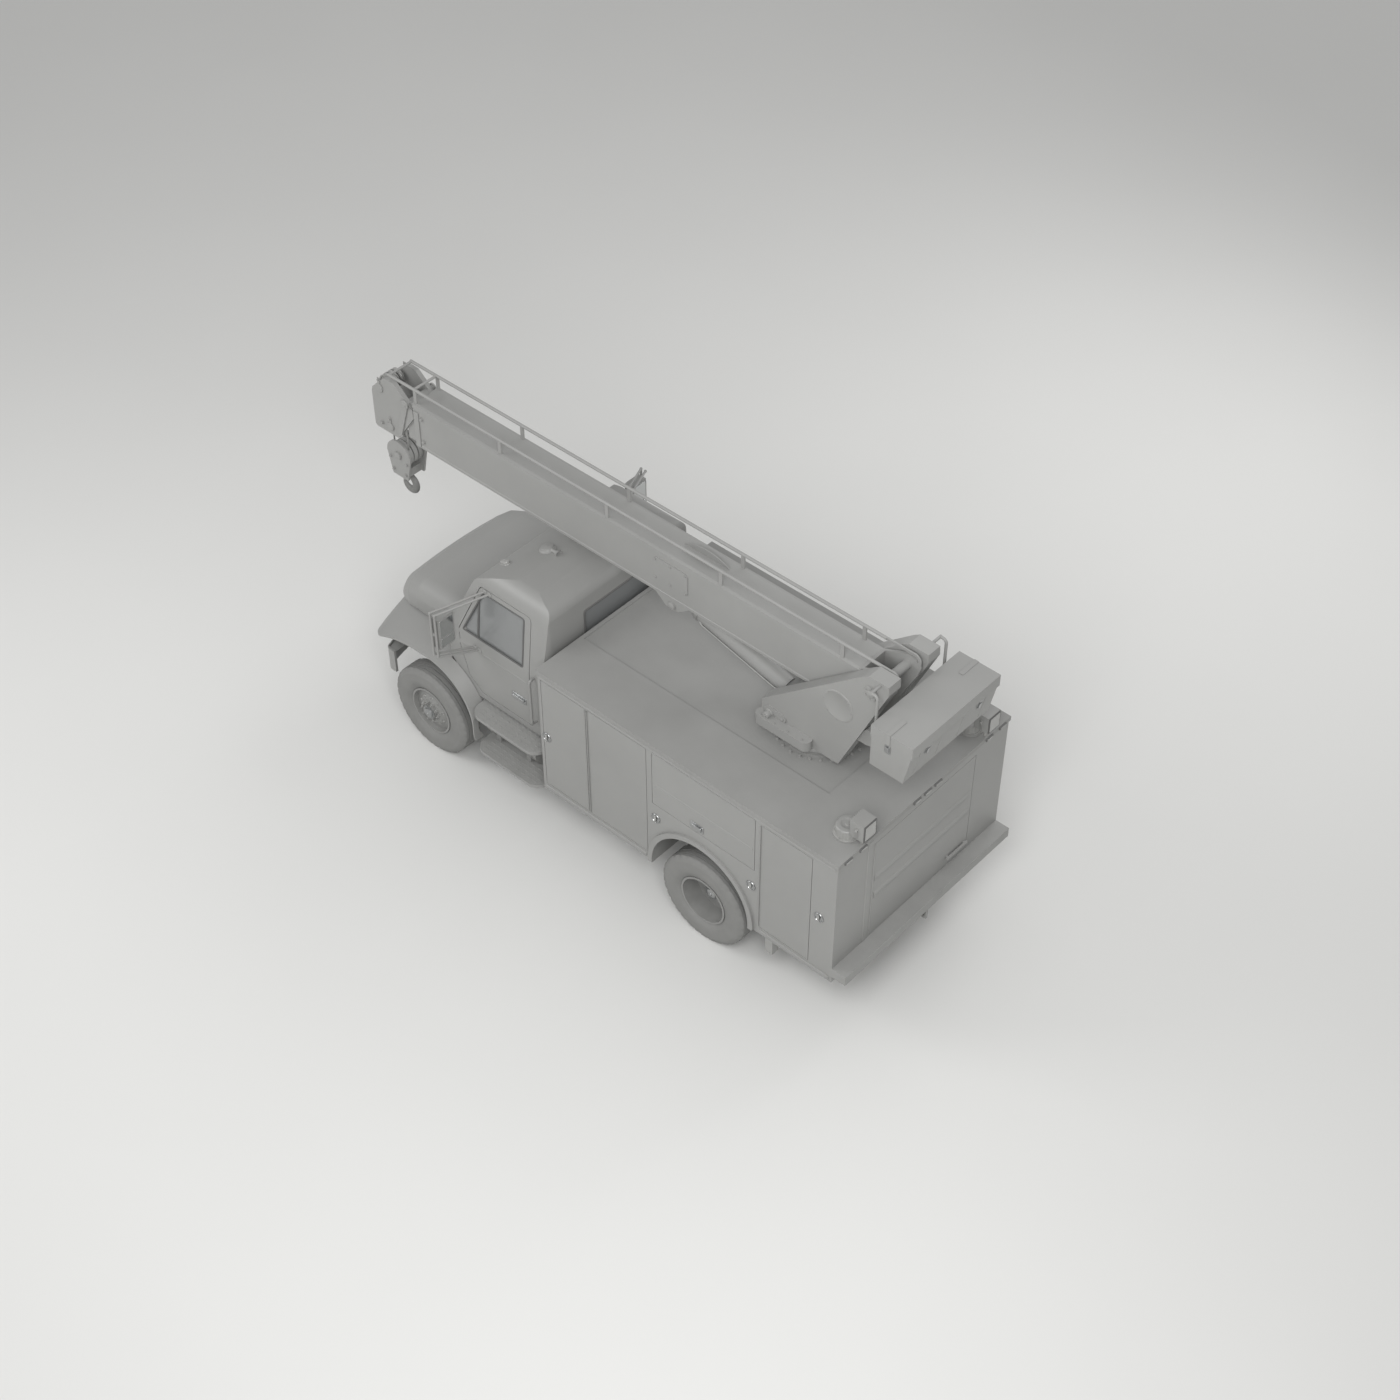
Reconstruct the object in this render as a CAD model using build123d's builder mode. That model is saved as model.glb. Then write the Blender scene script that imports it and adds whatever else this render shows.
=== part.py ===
"""Derrick truck: conventional cab, closed service body, slewing telescopic hook boom.

Millimetres, +X forward, +Y left, +Z up, ground at Z 0, origin under the middle of the whole truck.
"""
import os
from build123d import *

os.makedirs("parts", exist_ok=True)

# Clearances
seat_gap = 0.3
door_gap = 6
panel_gap = 8
slide_gap = 8

# Service body
body_rear_x = -3335
body_length = 3627
body_front_x = body_rear_x + body_length
body_half = 1220
cab_rear_x = body_front_x + 93
body_bottom = 666
deck_top = 2246
deck_thick = 50
deck_lip = 12
deck_recess = 20
body_top = deck_top - deck_thick
body_wall = 30
cabinet_inner = 600
bed_half = cabinet_inner - 2
bed_recess_half = 620
bed_recess_rear = body_rear_x + 600

# Wheels and axles
tyre_r = 510
tyre_width = 255
bead_r = 262
rear_axle_x = body_rear_x + 1595
front_axle_x = cab_rear_x + 1626
hub_z = tyre_r
front_tyre_y = 1035
twin_mid_y = 922
twin_offset = 150
spindle_r = 40
axle_tube_r = 60
kingpin_y = 790
kingpin_r = 20

# Frame
rail_y = 430
rail_width = 80
rail_height = 240
rail_top = 900
rail_wall = 10
rail_bottom = rail_top - rail_height
rail_rear_x = body_rear_x + 40
rail_front_x = front_axle_x + 640
crossmember_height = 80

# Cab
cab_half = 1030
cab_roof_half = 935
cab_floor = 1080
cab_belt = 1850
cab_roof_top = 2700
cab_wall = 45
firewall_x = cab_rear_x + 1340
roof_front_x = cab_rear_x + 980
glass_depth = 14
glass_thick = 7
door_rear_x = cab_rear_x + 220
door_front_x = cab_rear_x + 1190
door_bottom = cab_floor + 70
door_top = cab_roof_top - 185

# Turret and boom, in the truck's middle plane
swing_x = body_rear_x + 1200
ring_r = 380
ring_bottom = deck_top - deck_recess
ring_top = 2290
base_plate_thick = 40
base_plate_top = ring_top + seat_gap + base_plate_thick
cheek_inner = 190
cheek_outer = 350
pivot_x = body_rear_x + 420
pivot_z = 3400
pivot_pin_r = 45
lift_base_x = body_rear_x + 1520
lift_base_z = 2455
lift_eye_x = body_rear_x + 2880
lift_eye_z = 2796
lift_pin_r = 32
boom_half = 170
boom_bottom = 2860
boom_top = 3385
boom_wall = 16
boom_rear_x = body_rear_x + 600
boom_front_x = body_front_x + 2673
head_front_x = boom_front_x + 605
rail_tube_r = 16
rail_tube_y = 150
rail_tube_z = 3540
hang_x = boom_front_x + 370
hang_z = 2905
block_z = 2510

# Tool box carried behind the turret
box_rear_x = body_rear_x - 235
box_front_x = body_rear_x + 205
box_bottom = 2889
box_top = box_bottom + 340
box_half = 600
box_wall = 15
lid_top = box_top + 126

pieces = {}


def at(station):
    """X of a place measured forward from the service body's rear face."""
    return body_rear_x + station


def ahead(distance):
    """X of a place measured forward from the cab's rear face."""
    return cab_rear_x + distance


def side_plane(y):
    """Sketch plane across the truck at y: local x is X, local y is Z, extrusion runs toward -Y."""
    return Plane.XZ.offset(-y)


def slab(points, y_from, y_to):
    """Extrude an outline of (x, z) points between two values of y, in the part being built."""
    with BuildSketch(side_plane(max(y_from, y_to))) as outline:
        with BuildLine():
            Polyline(*points, close=True)
        make_face()
    extrude(outline.sketch, amount=abs(y_to - y_from))


def block(x_from, x_to, y_from, y_to, z_from, z_to, mode=Mode.ADD):
    """A box between two corners, in the part being built."""
    with BuildSketch(Plane.XY.offset(z_from)) as outline:
        with Locations(((x_from + x_to) / 2, (y_from + y_to) / 2)):
            Rectangle(abs(x_to - x_from), abs(y_to - y_from))
    extrude(outline.sketch, amount=z_to - z_from, mode=mode)


def pin_y(x, z, radius, y_from, y_to, mode=Mode.ADD):
    """A round bar or hole along Y, in the part being built."""
    with BuildSketch(side_plane(max(y_from, y_to))) as outline:
        with Locations((x, z)):
            Circle(radius)
    extrude(outline.sketch, amount=abs(y_to - y_from), mode=mode)


def leaf_spring(x, y, seat_z):
    """Leaf pack with its hangers up to the rail's bottom flange, in the part being built."""
    half, width, thick = 560, 70, 45
    end_z = rail_bottom - 40
    with BuildSketch(side_plane(y + width / 2)) as outline:
        with BuildLine():
            low = ThreePointArc((x - half, end_z - thick), (x, seat_z), (x + half, end_z - thick))
            high = ThreePointArc((x - half, end_z), (x, seat_z + thick), (x + half, end_z))
            Line(low @ 0, high @ 0)
            Line(low @ 1, high @ 1)
        make_face()
    extrude(outline.sketch, amount=width)
    for end in (-1, 1):
        middle = x + end * (half - 30)
        block(middle - 35, middle + 35, y - width / 2, y + width / 2, end_z - 30, rail_bottom)


def tube(points, radius):
    """Round tube in straight runs with a ball at each corner, in the part being built."""
    for start, end in zip(points, points[1:]):
        run = Vector(*end) - Vector(*start)
        with BuildSketch(Plane(origin=start, z_dir=run)) as outline:
            Circle(radius)
        extrude(outline.sketch, amount=run.length)
    with Locations(*points[1:-1]):
        Sphere(1.3 * radius)


# Ladder frame with channel rails
with BuildPart() as chassis_frame:
    for side in (-1, 1):
        with BuildSketch(Plane.YZ.offset(rail_rear_x)):
            with Locations((side * rail_y, rail_top - rail_height / 2)):
                Rectangle(rail_width, rail_height)
            with Locations((side * (rail_y - rail_wall), rail_top - rail_height / 2)):
                Rectangle(rail_width, rail_height - 2 * rail_wall, mode=Mode.SUBTRACT)
        extrude(amount=rail_front_x - rail_rear_x)
    web_y = rail_y + rail_width / 2 - rail_wall
    for x in (at(160), at(1000), at(2300), body_front_x - 127, ahead(380), ahead(2180)):
        block(x - 60, x + 60, -web_y, web_y, rail_top - rail_wall - crossmember_height, rail_top - rail_wall)
    for x in (ahead(150), ahead(840)):
        for side in (-1, 1):
            y = side * rail_y
            block(x - 50, x + 50, y - rail_width / 2, y + rail_width / 2, rail_top, cab_floor)
pieces["chassis_frame"] = chassis_frame

# Front axle: dropped beam, springs and kingpin eyes
beam_bottom, beam_top, eye_half, neck_y = 400, 480, 55, kingpin_y - 70
with BuildPart() as front_axle:
    with BuildSketch(Plane.YZ.offset(front_axle_x - 45)):
        with BuildLine():
            Polyline(
                (-kingpin_y, hub_z - 40), (-neck_y, hub_z - 40), (-580, beam_bottom), (580, beam_bottom),
                (neck_y, hub_z - 40), (kingpin_y, hub_z - 40), (kingpin_y, hub_z + 40), (neck_y, hub_z + 40),
                (560, beam_top), (-560, beam_top), (-neck_y, hub_z + 40), (-kingpin_y, hub_z + 40), close=True,
            )
        make_face()
    extrude(amount=90)
    for side in (-1, 1):
        with BuildSketch(Plane.XY.offset(hub_z - eye_half)):
            with Locations((front_axle_x, side * kingpin_y)):
                Circle(50)
        extrude(amount=2 * eye_half)
        leaf_spring(front_axle_x, side * rail_y, beam_top)
    for side in (-1, 1):
        with BuildSketch(Plane.XY.offset(hub_z - eye_half)):
            with Locations((front_axle_x, side * kingpin_y)):
                Circle(kingpin_r + seat_gap)
        extrude(amount=2 * eye_half, mode=Mode.SUBTRACT)
pieces["front_axle"] = front_axle

# Rear axle: tube, drive head and springs
with BuildPart() as rear_axle:
    pin_y(rear_axle_x, hub_z, axle_tube_r, -twin_mid_y - 75, twin_mid_y + 75)
    with Locations((rear_axle_x, 0, hub_z)):
        Sphere(185)
    for side in (-1, 1):
        leaf_spring(rear_axle_x, side * rail_y, hub_z + axle_tube_r - 10)
pieces["rear_axle"] = rear_axle

# Engine block, gearbox and propeller shaft
gearbox_rear_x, shaft_r = ahead(510), 42
with BuildPart() as powertrain:
    block(ahead(1240), ahead(2060), -340, 340, 640, 1190)
    block(ahead(1530), ahead(1680), seat_gap - web_y, web_y - seat_gap, 700, 800)
    slab([(ahead(1240), 660), (ahead(1240), 1020), (gearbox_rear_x, 860), (gearbox_rear_x, 640)], -190, 190)
    shaft_run = Vector(rear_axle_x + 186 - gearbox_rear_x, 0, hub_z + 20 - 720)
    with BuildSketch(Plane(origin=(gearbox_rear_x, 0, 720), z_dir=shaft_run)):
        Circle(shaft_r)
    extrude(amount=shaft_run.length)
pieces["powertrain"] = powertrain

# Fuel tanks under the doors with their step plates
tank_y, tank_z, tank_r = 800, 800, 262
step_rear, step_inner, step_outer, step_thick = ahead(-20), 960, 1240, 40
with BuildPart() as step_tanks:
    for side in (-1, 1):
        with BuildSketch(Plane.YZ.offset(ahead(180))):
            with Locations((side * tank_y, tank_z)):
                Circle(tank_r)
        extrude(amount=700)
        for z_low, front in ((1005, ahead(922)), (545, ahead(890))):
            with BuildSketch(Plane.XY.offset(z_low)):
                with Locations(((step_rear + front) / 2, side * (step_inner + step_outer) / 2)):
                    Rectangle(front - step_rear, step_outer - step_inner)
                fillet(vertices().filter_by(lambda corner: abs(corner.Y) > step_inner + 1), 150)
            extrude(amount=step_thick)
        for x in (ahead(300), ahead(720)):
            inner, outer = rail_y + rail_width / 2, tank_y - tank_r / 2
            block(x, x + 60, side * inner, side * outer, 720, 880)
            block(x, x + 60, side * (tank_y + 60), side * (step_inner + 60), 560, 1030)
pieces["step_tanks"] = step_tanks

# Front bumper with wrapped ends, on brackets to the rails
bumper_x, bumper_bottom, bumper_height, bumper_thick = ahead(2470), 665, 285, 28
bumper_half, bumper_corner, bumper_end = 1085, ahead(2290), ahead(2180)
with BuildPart() as front_bumper:
    with BuildSketch(Plane.XY.offset(bumper_bottom)):
        with BuildLine():
            face = ThreePointArc((bumper_corner, -bumper_half), (bumper_x, 0), (bumper_corner, bumper_half))
            Polyline(face @ 0, (bumper_end, -bumper_half), (bumper_end, bumper_half), face @ 1)
        make_face()
        fillet(vertices().group_by(Axis.X)[1], 60)
        with BuildLine():
            back = ThreePointArc(
                (bumper_corner, bumper_thick - bumper_half), (bumper_x - bumper_thick, 0),
                (bumper_corner, bumper_half - bumper_thick),
            )
            Polyline(
                back @ 0, (bumper_end - 1, bumper_thick - bumper_half), (bumper_end - 1, bumper_half - bumper_thick),
                back @ 1,
            )
        make_face(mode=Mode.SUBTRACT)
    extrude(amount=bumper_height)
    for side in (-1, 1):
        block(rail_front_x, bumper_x - 35, side * (rail_y - 35), side * (rail_y + 35), 690, 870)
pieces["front_bumper"] = front_bumper

# Front fenders: shells with a ridge round the wheel, their tops rising inward under the hood
arch_r, fender_inner, fender_outer, fender_skin, fender_rise = 690, 640, 1180, 24, 18
fender_rear, fender_front = ahead(935), ahead(2410)
lamp_y, lamp_z, lamp_r = 900, 1050, 95


def fender_outline(inset):
    """Side view of the fender's ridge above the wheel, in the sketch being built."""
    rear, front = ahead(940) + inset, fender_front - inset
    with BuildLine() as outline:
        Line((rear, 560), (rear, 600))
        ThreePointArc((rear, 600), (ahead(1080) + 0.7 * inset, 1150 - 0.7 * inset), (front_axle_x, 1352 - inset))
        ThreePointArc(
            (front_axle_x, 1352 - inset), (ahead(2000), 1310 - inset), (ahead(2290) - 0.5 * inset, 1190 - 0.8 * inset)
        )
        ThreePointArc(
            (ahead(2290) - 0.5 * inset, 1190 - 0.8 * inset), (ahead(2380) - 0.9 * inset, 1095 - 0.4 * inset), (front, 950)
        )
        Polyline((front, 950), (front, 560), (rear, 560))
    make_face(outline.edges())


with BuildPart() as fenders:
    with BuildSketch(side_plane(-fender_outer)) as ridge:
        fender_outline(0)
    extrude(ridge.sketch, amount=fender_inner - fender_outer, taper=-fender_rise)
    with BuildSketch(Plane.XY):
        with Locations(((fender_rear + fender_front) / 2, 0)):
            Rectangle(fender_front - fender_rear, 2 * fender_outer)
        fillet(vertices().group_by(Axis.X)[-1], 200)
    extrude(amount=2000, mode=Mode.INTERSECT)
    with BuildSketch(side_plane(fender_skin - fender_outer)) as lining:
        fender_outline(fender_skin)
    lining_depth = fender_outer - fender_skin - fender_inner + 5
    extrude(lining.sketch, amount=-lining_depth, taper=-fender_rise, mode=Mode.SUBTRACT)
    pin_y(front_axle_x, hub_z + 10, arch_r, -600, -1300, Mode.SUBTRACT)
    block(front_axle_x, fender_front + 100, -600, -1300, 300, 940, Mode.SUBTRACT)
    block(fender_rear - 10, firewall_x + seat_gap, -600, -cab_half - 5, 300, 1700, Mode.SUBTRACT)
    block(fender_rear - 10, front_axle_x, -600, -1300, 300, 560, Mode.SUBTRACT)
    with BuildSketch(Plane.YZ.offset(fender_front - 90)):
        with Locations((-lamp_y, lamp_z)):
            Circle(lamp_r + seat_gap)
    extrude(amount=300, mode=Mode.SUBTRACT)
    mirror(about=Plane.XZ)
pieces["fenders"] = fenders

# Front lamps seated in the fender fronts
with BuildPart() as front_lamps:
    for side in (-1, 1):
        with BuildSketch(Plane.YZ.offset(fender_front - 90)):
            with Locations((side * lamp_y, lamp_z)):
                Circle(lamp_r)
        extrude(amount=98)
pieces["front_lamps"] = front_lamps

# Grille surround with cross bars, standing on the rails' front ends
grille_front_x, grille_half = ahead(2390), 600
with BuildPart() as grille:
    block(ahead(2140), grille_front_x, -grille_half, grille_half, rail_top, 1325)
    block(ahead(2110), grille_front_x + 10, -grille_half + 50, grille_half - 50, rail_top + 60, 1275, Mode.SUBTRACT)
    for row in range(5):
        z_bar = rail_top + 85 + 56 * row
        block(grille_front_x - 60, grille_front_x - 20, -grille_half + 50, grille_half - 50, z_bar, z_bar + 26)
pieces["grille"] = grille


def hood_section(half, base_z, top_z, shoulder):
    """Hood cross section of lines and arcs, in the sketch being built."""
    with BuildLine() as outline:
        Line((-half, base_z), (half, base_z))
        Line((half, base_z), (half, top_z - 30 - shoulder))
        bend = 0.293 * shoulder
        ThreePointArc(
            (half, top_z - 30 - shoulder), (half - bend, top_z - 30 - bend), (half - shoulder, top_z - 30)
        )
        ThreePointArc((half - shoulder, top_z - 30), (0, top_z), (shoulder - half, top_z - 30))
        ThreePointArc(
            (shoulder - half, top_z - 30), (bend - half, top_z - 30 - bend), (-half, top_z - 30 - shoulder)
        )
        Line((-half, top_z - 30 - shoulder), (-half, base_z))
    make_face(outline.edges())


# Hood: shell lofted from cowl to nose
hood_rear_x = firewall_x + 50
hood_skin = 26
hood_pin_x, hood_pin_z, hood_pin_r, hood_pin_y = hood_rear_x + 10, 1840, 10, 430
hood_sections = (
    # x, half width, top, shoulder radius, base
    (hood_rear_x, 880, 1905, 200, 1492),
    (ahead(2025), 835, 1815, 190, 1466),
    (ahead(2210), 790, 1755, 185, 1395),
    (ahead(2340), 735, 1645, 165, 1356),
    (ahead(2425), 680, 1505, 120, 1335),
)
with BuildPart() as hood:
    for x, half, top_z, shoulder, base_z in hood_sections:
        with BuildSketch(Plane.YZ.offset(x)):
            hood_section(half, base_z, top_z, shoulder)
    loft(ruled=True)
    for x, half, top_z, shoulder, base_z in hood_sections:
        shift = -1 if x == hood_rear_x else -hood_skin
        with BuildSketch(Plane.YZ.offset(x + shift)):
            hood_section(half - hood_skin, 1100, top_z - hood_skin, shoulder - 20)
    loft(ruled=True, mode=Mode.SUBTRACT)
    for side in (-1, 1):
        y_from, y_to = side * hood_pin_y - 10, side * hood_pin_y + 10
        block(hood_rear_x, hood_rear_x + 45, y_from, y_to, hood_pin_z - 18, 1882)
        pin_y(hood_pin_x, hood_pin_z, hood_pin_r + seat_gap, y_from, y_to, Mode.SUBTRACT)
pieces["hood"] = hood


def cab_form(inset):
    """Cab volume from its side, front and plan outlines, each drawn in by inset."""
    with BuildPart() as form:
        with BuildSketch(Plane.XZ):
            with BuildLine():
                Polyline(
                    (cab_rear_x, cab_roof_top - 60), (cab_rear_x, cab_floor), (ahead(995), cab_floor),
                    (firewall_x, cab_floor + 335), (firewall_x, cab_belt), (firewall_x - 35, cab_belt + 40),
                    (roof_front_x, cab_roof_top - 140),
                )
                ThreePointArc(
                    (roof_front_x, cab_roof_top - 140), (ahead(530), cab_roof_top), (cab_rear_x, cab_roof_top - 60)
                )
            make_face()
            fillet(vertices().group_by(Axis.Y)[-2:], 95)
            if inset:
                offset(amount=-inset)
        extrude(amount=2 * cab_half, both=True)
        with BuildSketch(Plane.YZ):
            with BuildLine():
                Polyline(
                    (cab_half, cab_floor), (cab_half, cab_belt), (cab_roof_half, cab_roof_top),
                    (-cab_roof_half, cab_roof_top), (-cab_half, cab_belt), (-cab_half, cab_floor), close=True,
                )
            make_face()
            fillet(vertices().group_by(Axis.Y)[-1], 185)
            if inset:
                offset(amount=-inset)
        extrude(amount=4000, both=True, mode=Mode.INTERSECT)
        with BuildSketch(Plane.XY):
            with Locations(((cab_rear_x + firewall_x) / 2, 0)):
                Rectangle(firewall_x - cab_rear_x, 2 * cab_half)
            fillet(vertices().group_by(Axis.X)[0], 110)
            if inset:
                offset(amount=-inset)
        extrude(amount=4000, mode=Mode.INTERSECT)
    return form.part


def door_outline(inset):
    """Cab door in side view, in the sketch being built."""
    with BuildLine() as outline:
        Polyline(
            (door_rear_x, door_bottom), (ahead(920), door_bottom), (ahead(1095), door_bottom + 145),
            (ahead(1122), door_bottom + 250), (door_front_x, cab_belt - 210), (door_front_x, cab_belt + 15),
            (ahead(905), door_top), (door_rear_x, door_top), close=True,
        )
    make_face(outline.edges())
    fillet(vertices().group_by(Axis.Y)[-1], 60)
    if inset:
        offset(amount=-inset)


def door_window():
    """Door glass opening in side view, in the sketch being built."""
    with BuildLine() as outline:
        low, high = cab_belt + 30, cab_roof_top - 250
        Polyline((ahead(315), low), (ahead(1130), low), (ahead(865), high), (ahead(315), high), close=True)
    make_face(outline.edges())
    fillet(vertices(), 40)


cab_outer = cab_form(0)
cab_inner = cab_form(cab_wall)
pane_outer = cab_form(glass_depth)
pane_inner = cab_form(glass_depth + glass_thick)
screen_half, screen_low, screen_high = 850, cab_belt + 85, cab_roof_top - 205
rear_glass_half, rear_glass_low, rear_glass_high = 480, cab_belt + 100, cab_roof_top - 280

# Cab shell with door openings, windscreen and rear window
with BuildPart() as cab_shell:
    add(cab_outer)
    add(cab_inner, mode=Mode.SUBTRACT)
    for side in (-1, 1):
        with BuildSketch(side_plane(max(side * 800, side * 1200))):
            door_outline(0)
        extrude(amount=400, mode=Mode.SUBTRACT)
        slab(
            [(firewall_x - 5, hood_pin_z - 14), (hood_pin_x + 14, hood_pin_z - 14),
             (hood_pin_x + 14, hood_pin_z + 14), (hood_pin_x - 8, hood_pin_z + 14), (hood_pin_x - 22, hood_pin_z),
             (firewall_x - 5, hood_pin_z)],
            side * (hood_pin_y + 12), side * (hood_pin_y + 32),
        )
        pin_y(hood_pin_x, hood_pin_z, hood_pin_r, side * (hood_pin_y - 14), side * (hood_pin_y + 20))
    with BuildSketch(Plane.YZ.offset(ahead(730))):
        with Locations((0, (screen_low + screen_high) / 2)):
            RectangleRounded(2 * screen_half, screen_high - screen_low, 60)
    extrude(amount=700, mode=Mode.SUBTRACT)
    with BuildSketch(Plane.YZ.offset(cab_rear_x - 50)):
        with Locations((0, (rear_glass_low + rear_glass_high) / 2)):
            RectangleRounded(2 * rear_glass_half, rear_glass_high - rear_glass_low, 60)
    extrude(amount=150, mode=Mode.SUBTRACT)
pieces["cab_shell"] = cab_shell

# Fixed panes
with BuildPart() as cab_glass:
    with BuildSketch(Plane.YZ.offset(ahead(730))):
        with Locations((0, (screen_low + screen_high) / 2)):
            RectangleRounded(2 * screen_half, screen_high - screen_low, 60)
    extrude(amount=700)
    with BuildSketch(Plane.YZ.offset(cab_rear_x - 50)):
        with Locations((0, (rear_glass_low + rear_glass_high) / 2)):
            RectangleRounded(2 * rear_glass_half, rear_glass_high - rear_glass_low, 60)
    extrude(amount=150)
    add(pane_outer, mode=Mode.INTERSECT)
    add(pane_inner, mode=Mode.SUBTRACT)
pieces["cab_glass"] = cab_glass

# Cab doors with window openings and long mirrors
mirror_x, mirror_out, mirror_low, mirror_high, mirror_tube_r = ahead(1080), 1458, 1872, 2400, 12
for side, name in ((1, "left"), (-1, "right")):
    window_plane = side_plane(max(side * 820, side * 1200))
    with BuildPart() as cab_door:
        add(cab_outer)
        add(cab_inner, mode=Mode.SUBTRACT)
        with BuildSketch(window_plane):
            door_outline(panel_gap)
        extrude(amount=380, mode=Mode.INTERSECT)
        with BuildSketch(window_plane):
            door_window()
        extrude(amount=380, mode=Mode.SUBTRACT)
        for z_low in (cab_belt - 190, cab_belt - 50):
            y_from, y_to = side * (cab_half - 30), side * cab_half
            block(door_front_x - panel_gap - 5, door_front_x - seat_gap, y_from, y_to, z_low, z_low + 50)
        for shift in (0, -60):
            tube(
                [(ahead(840) + shift, side * 945, 2482), (mirror_x + shift, side * mirror_out, mirror_high),
                 (mirror_x + shift, side * mirror_out, mirror_low), (ahead(970) + shift, side * 1005, 1725)],
                mirror_tube_r,
            )
        mirror_middle = side * (mirror_out - 115)
        block(mirror_x - 80, mirror_x + 20, mirror_middle - 100, mirror_middle + 100, 1960, 2330)
        block(mirror_x - 60, mirror_x, mirror_middle, side * mirror_out, 2120, 2150)
    pieces["cab_door_" + name] = cab_door
    with BuildPart() as door_glass:
        with BuildSketch(window_plane):
            door_window()
        extrude(amount=380)
        add(pane_outer, mode=Mode.INTERSECT)
        add(pane_inner, mode=Mode.SUBTRACT)
    pieces["door_glass_" + name] = door_glass

# Dash, steering wheel and seat bases on the cab floor
cab_floor_top = cab_floor + cab_wall
with BuildPart() as cab_interior:
    slab(
        [(firewall_x - cab_wall - seat_gap, 1500), (firewall_x - cab_wall - seat_gap, 1780), (ahead(1130), 1800),
         (ahead(1070), 1700), (ahead(1130), 1500)],
        -900, 900,
    )
    column = Plane(origin=(ahead(940), 450, 1830), z_dir=(-0.8, 0, 0.6))
    with BuildSketch(column.offset(-260)):
        Circle(24)
    extrude(amount=275)
    with Locations(column):
        Torus(215, 15)
    with BuildSketch(column.offset(-10)):
        Rectangle(425, 40)
        Rectangle(40, 425)
    extrude(amount=20)
    for side in (-1, 1):
        block(ahead(290), ahead(640), side * 450 - 190, side * 450 + 190, cab_floor_top, 1420)
pieces["cab_interior"] = cab_interior

# Seat cushions and backs
with BuildPart() as seats:
    for side in (-1, 1):
        block(ahead(240), ahead(700), side * 450 - 240, side * 450 + 240, 1420, 1540)
        slab(
            [(ahead(240), 1500), (ahead(360), 1500), (ahead(270), 2200), (ahead(160), 2200)],
            side * 450 - 235, side * 450 + 235,
        )
pieces["seats"] = seats

# Grab handles behind the doors
with BuildPart() as grab_handles:
    for side in (-1, 1):
        with BuildLine(Plane.YZ.offset(ahead(165))) as grip:
            FilletPolyline(
                (side * (cab_half + seat_gap), 1260), (side * (cab_half + 60), 1260), (side * (cab_half + 60), 1830),
                (side * (cab_half + seat_gap), 1830), radius=30,
            )
        with BuildSketch(Plane(origin=grip.line @ 0, z_dir=grip.line % 0)):
            Circle(14)
        sweep(path=grip.line)
pieces["grab_handles"] = grab_handles

# Service body cabinets: hollow compartments, wheel arch and flare
arch_x, arch_z, arch_hole, flare_r, flare_out = at(1580), 700, 600, 655, body_half + 24
door_cut = body_half - 120
compartments = (
    # rear station, front station, floor
    (60, 880, body_bottom + body_wall),
    (910, 2200, 1420),
    (2230, body_length - 30, body_bottom + body_wall),
)
side_doors = (
    # name, rear station, front station, bottom, top, hinge
    ("a", body_length - 607, body_length - 37, 756, 2140, "rear"),
    ("b", 2245, body_length - 642, 756, 2140, "front"),
    ("c", 930, 2180, 1475, 2140, "top"),
    ("d", 275, 860, 756, 2130, "front"),
)
leg_x, leg_half, leg_bottom, leg_y = at(769), 42, 428, body_half - 80
for side, name in ((1, "left"), (-1, "right")):
    with BuildPart() as cabinet:
        block(
            body_rear_x + body_wall, body_front_x, side * cabinet_inner, side * body_half, body_bottom, body_top
        )
        for rear, front, floor in compartments:
            block(
                at(rear), at(front), side * (cabinet_inner + body_wall), side * (body_half - body_wall), floor,
                body_top - body_wall, Mode.SUBTRACT,
            )
        block(
            at(930), at(2180), side * (cabinet_inner - 5), side * (body_half - body_wall), body_bottom - 5, 1390,
            Mode.SUBTRACT,
        )
        for door, rear, front, bottom, top, hinge in side_doors:
            block(at(rear), at(front), side * door_cut, side * (body_half + 80), bottom, top, Mode.SUBTRACT)
        with BuildSketch(side_plane(max(side * door_cut, side * flare_out))):
            with Locations((arch_x, arch_z)):
                Circle(flare_r)
        extrude(amount=flare_out - door_cut, mode=Mode.ADD)
        pin_y(arch_x, arch_z, arch_hole, side * 590, side * (body_half + 80), Mode.SUBTRACT)
        block(at(930), at(2180), side * (cabinet_inner - 5), side * (body_half - body_wall), 500, 1390, Mode.SUBTRACT)
        block(at(600), at(2600), side * 590, side * (body_half + 80), 0, body_bottom, Mode.SUBTRACT)
        tube_half = leg_half + 22
        block(
            leg_x - tube_half, leg_x + tube_half, side * (leg_y - tube_half), side * (leg_y + 50), body_bottom + 5,
            1500,
        )
        block(
            leg_x - leg_half - seat_gap, leg_x + leg_half + seat_gap, side * (leg_y - leg_half - seat_gap),
            side * (leg_y + leg_half + seat_gap), 500, 1450, Mode.SUBTRACT,
        )
    pieces["body_" + name] = cabinet
    for door, rear, front, bottom, top, hinge in side_doors:
        with BuildPart() as panel:
            gaps = {edge: seat_gap if edge == hinge else door_gap for edge in ("rear", "front", "top")}
            block(
                at(rear) + gaps["rear"], at(front) - gaps["front"], side * (body_half - body_wall + 2),
                side * body_half, bottom + door_gap, top - gaps["top"],
            )
        pieces["door_" + door + "_" + name] = panel
    with BuildPart() as leg:
        block(
            leg_x - leg_half, leg_x + leg_half, side * (leg_y - leg_half), side * (leg_y + leg_half), leg_bottom, 1440
        )
    pieces["stabilizer_" + name] = leg

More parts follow.
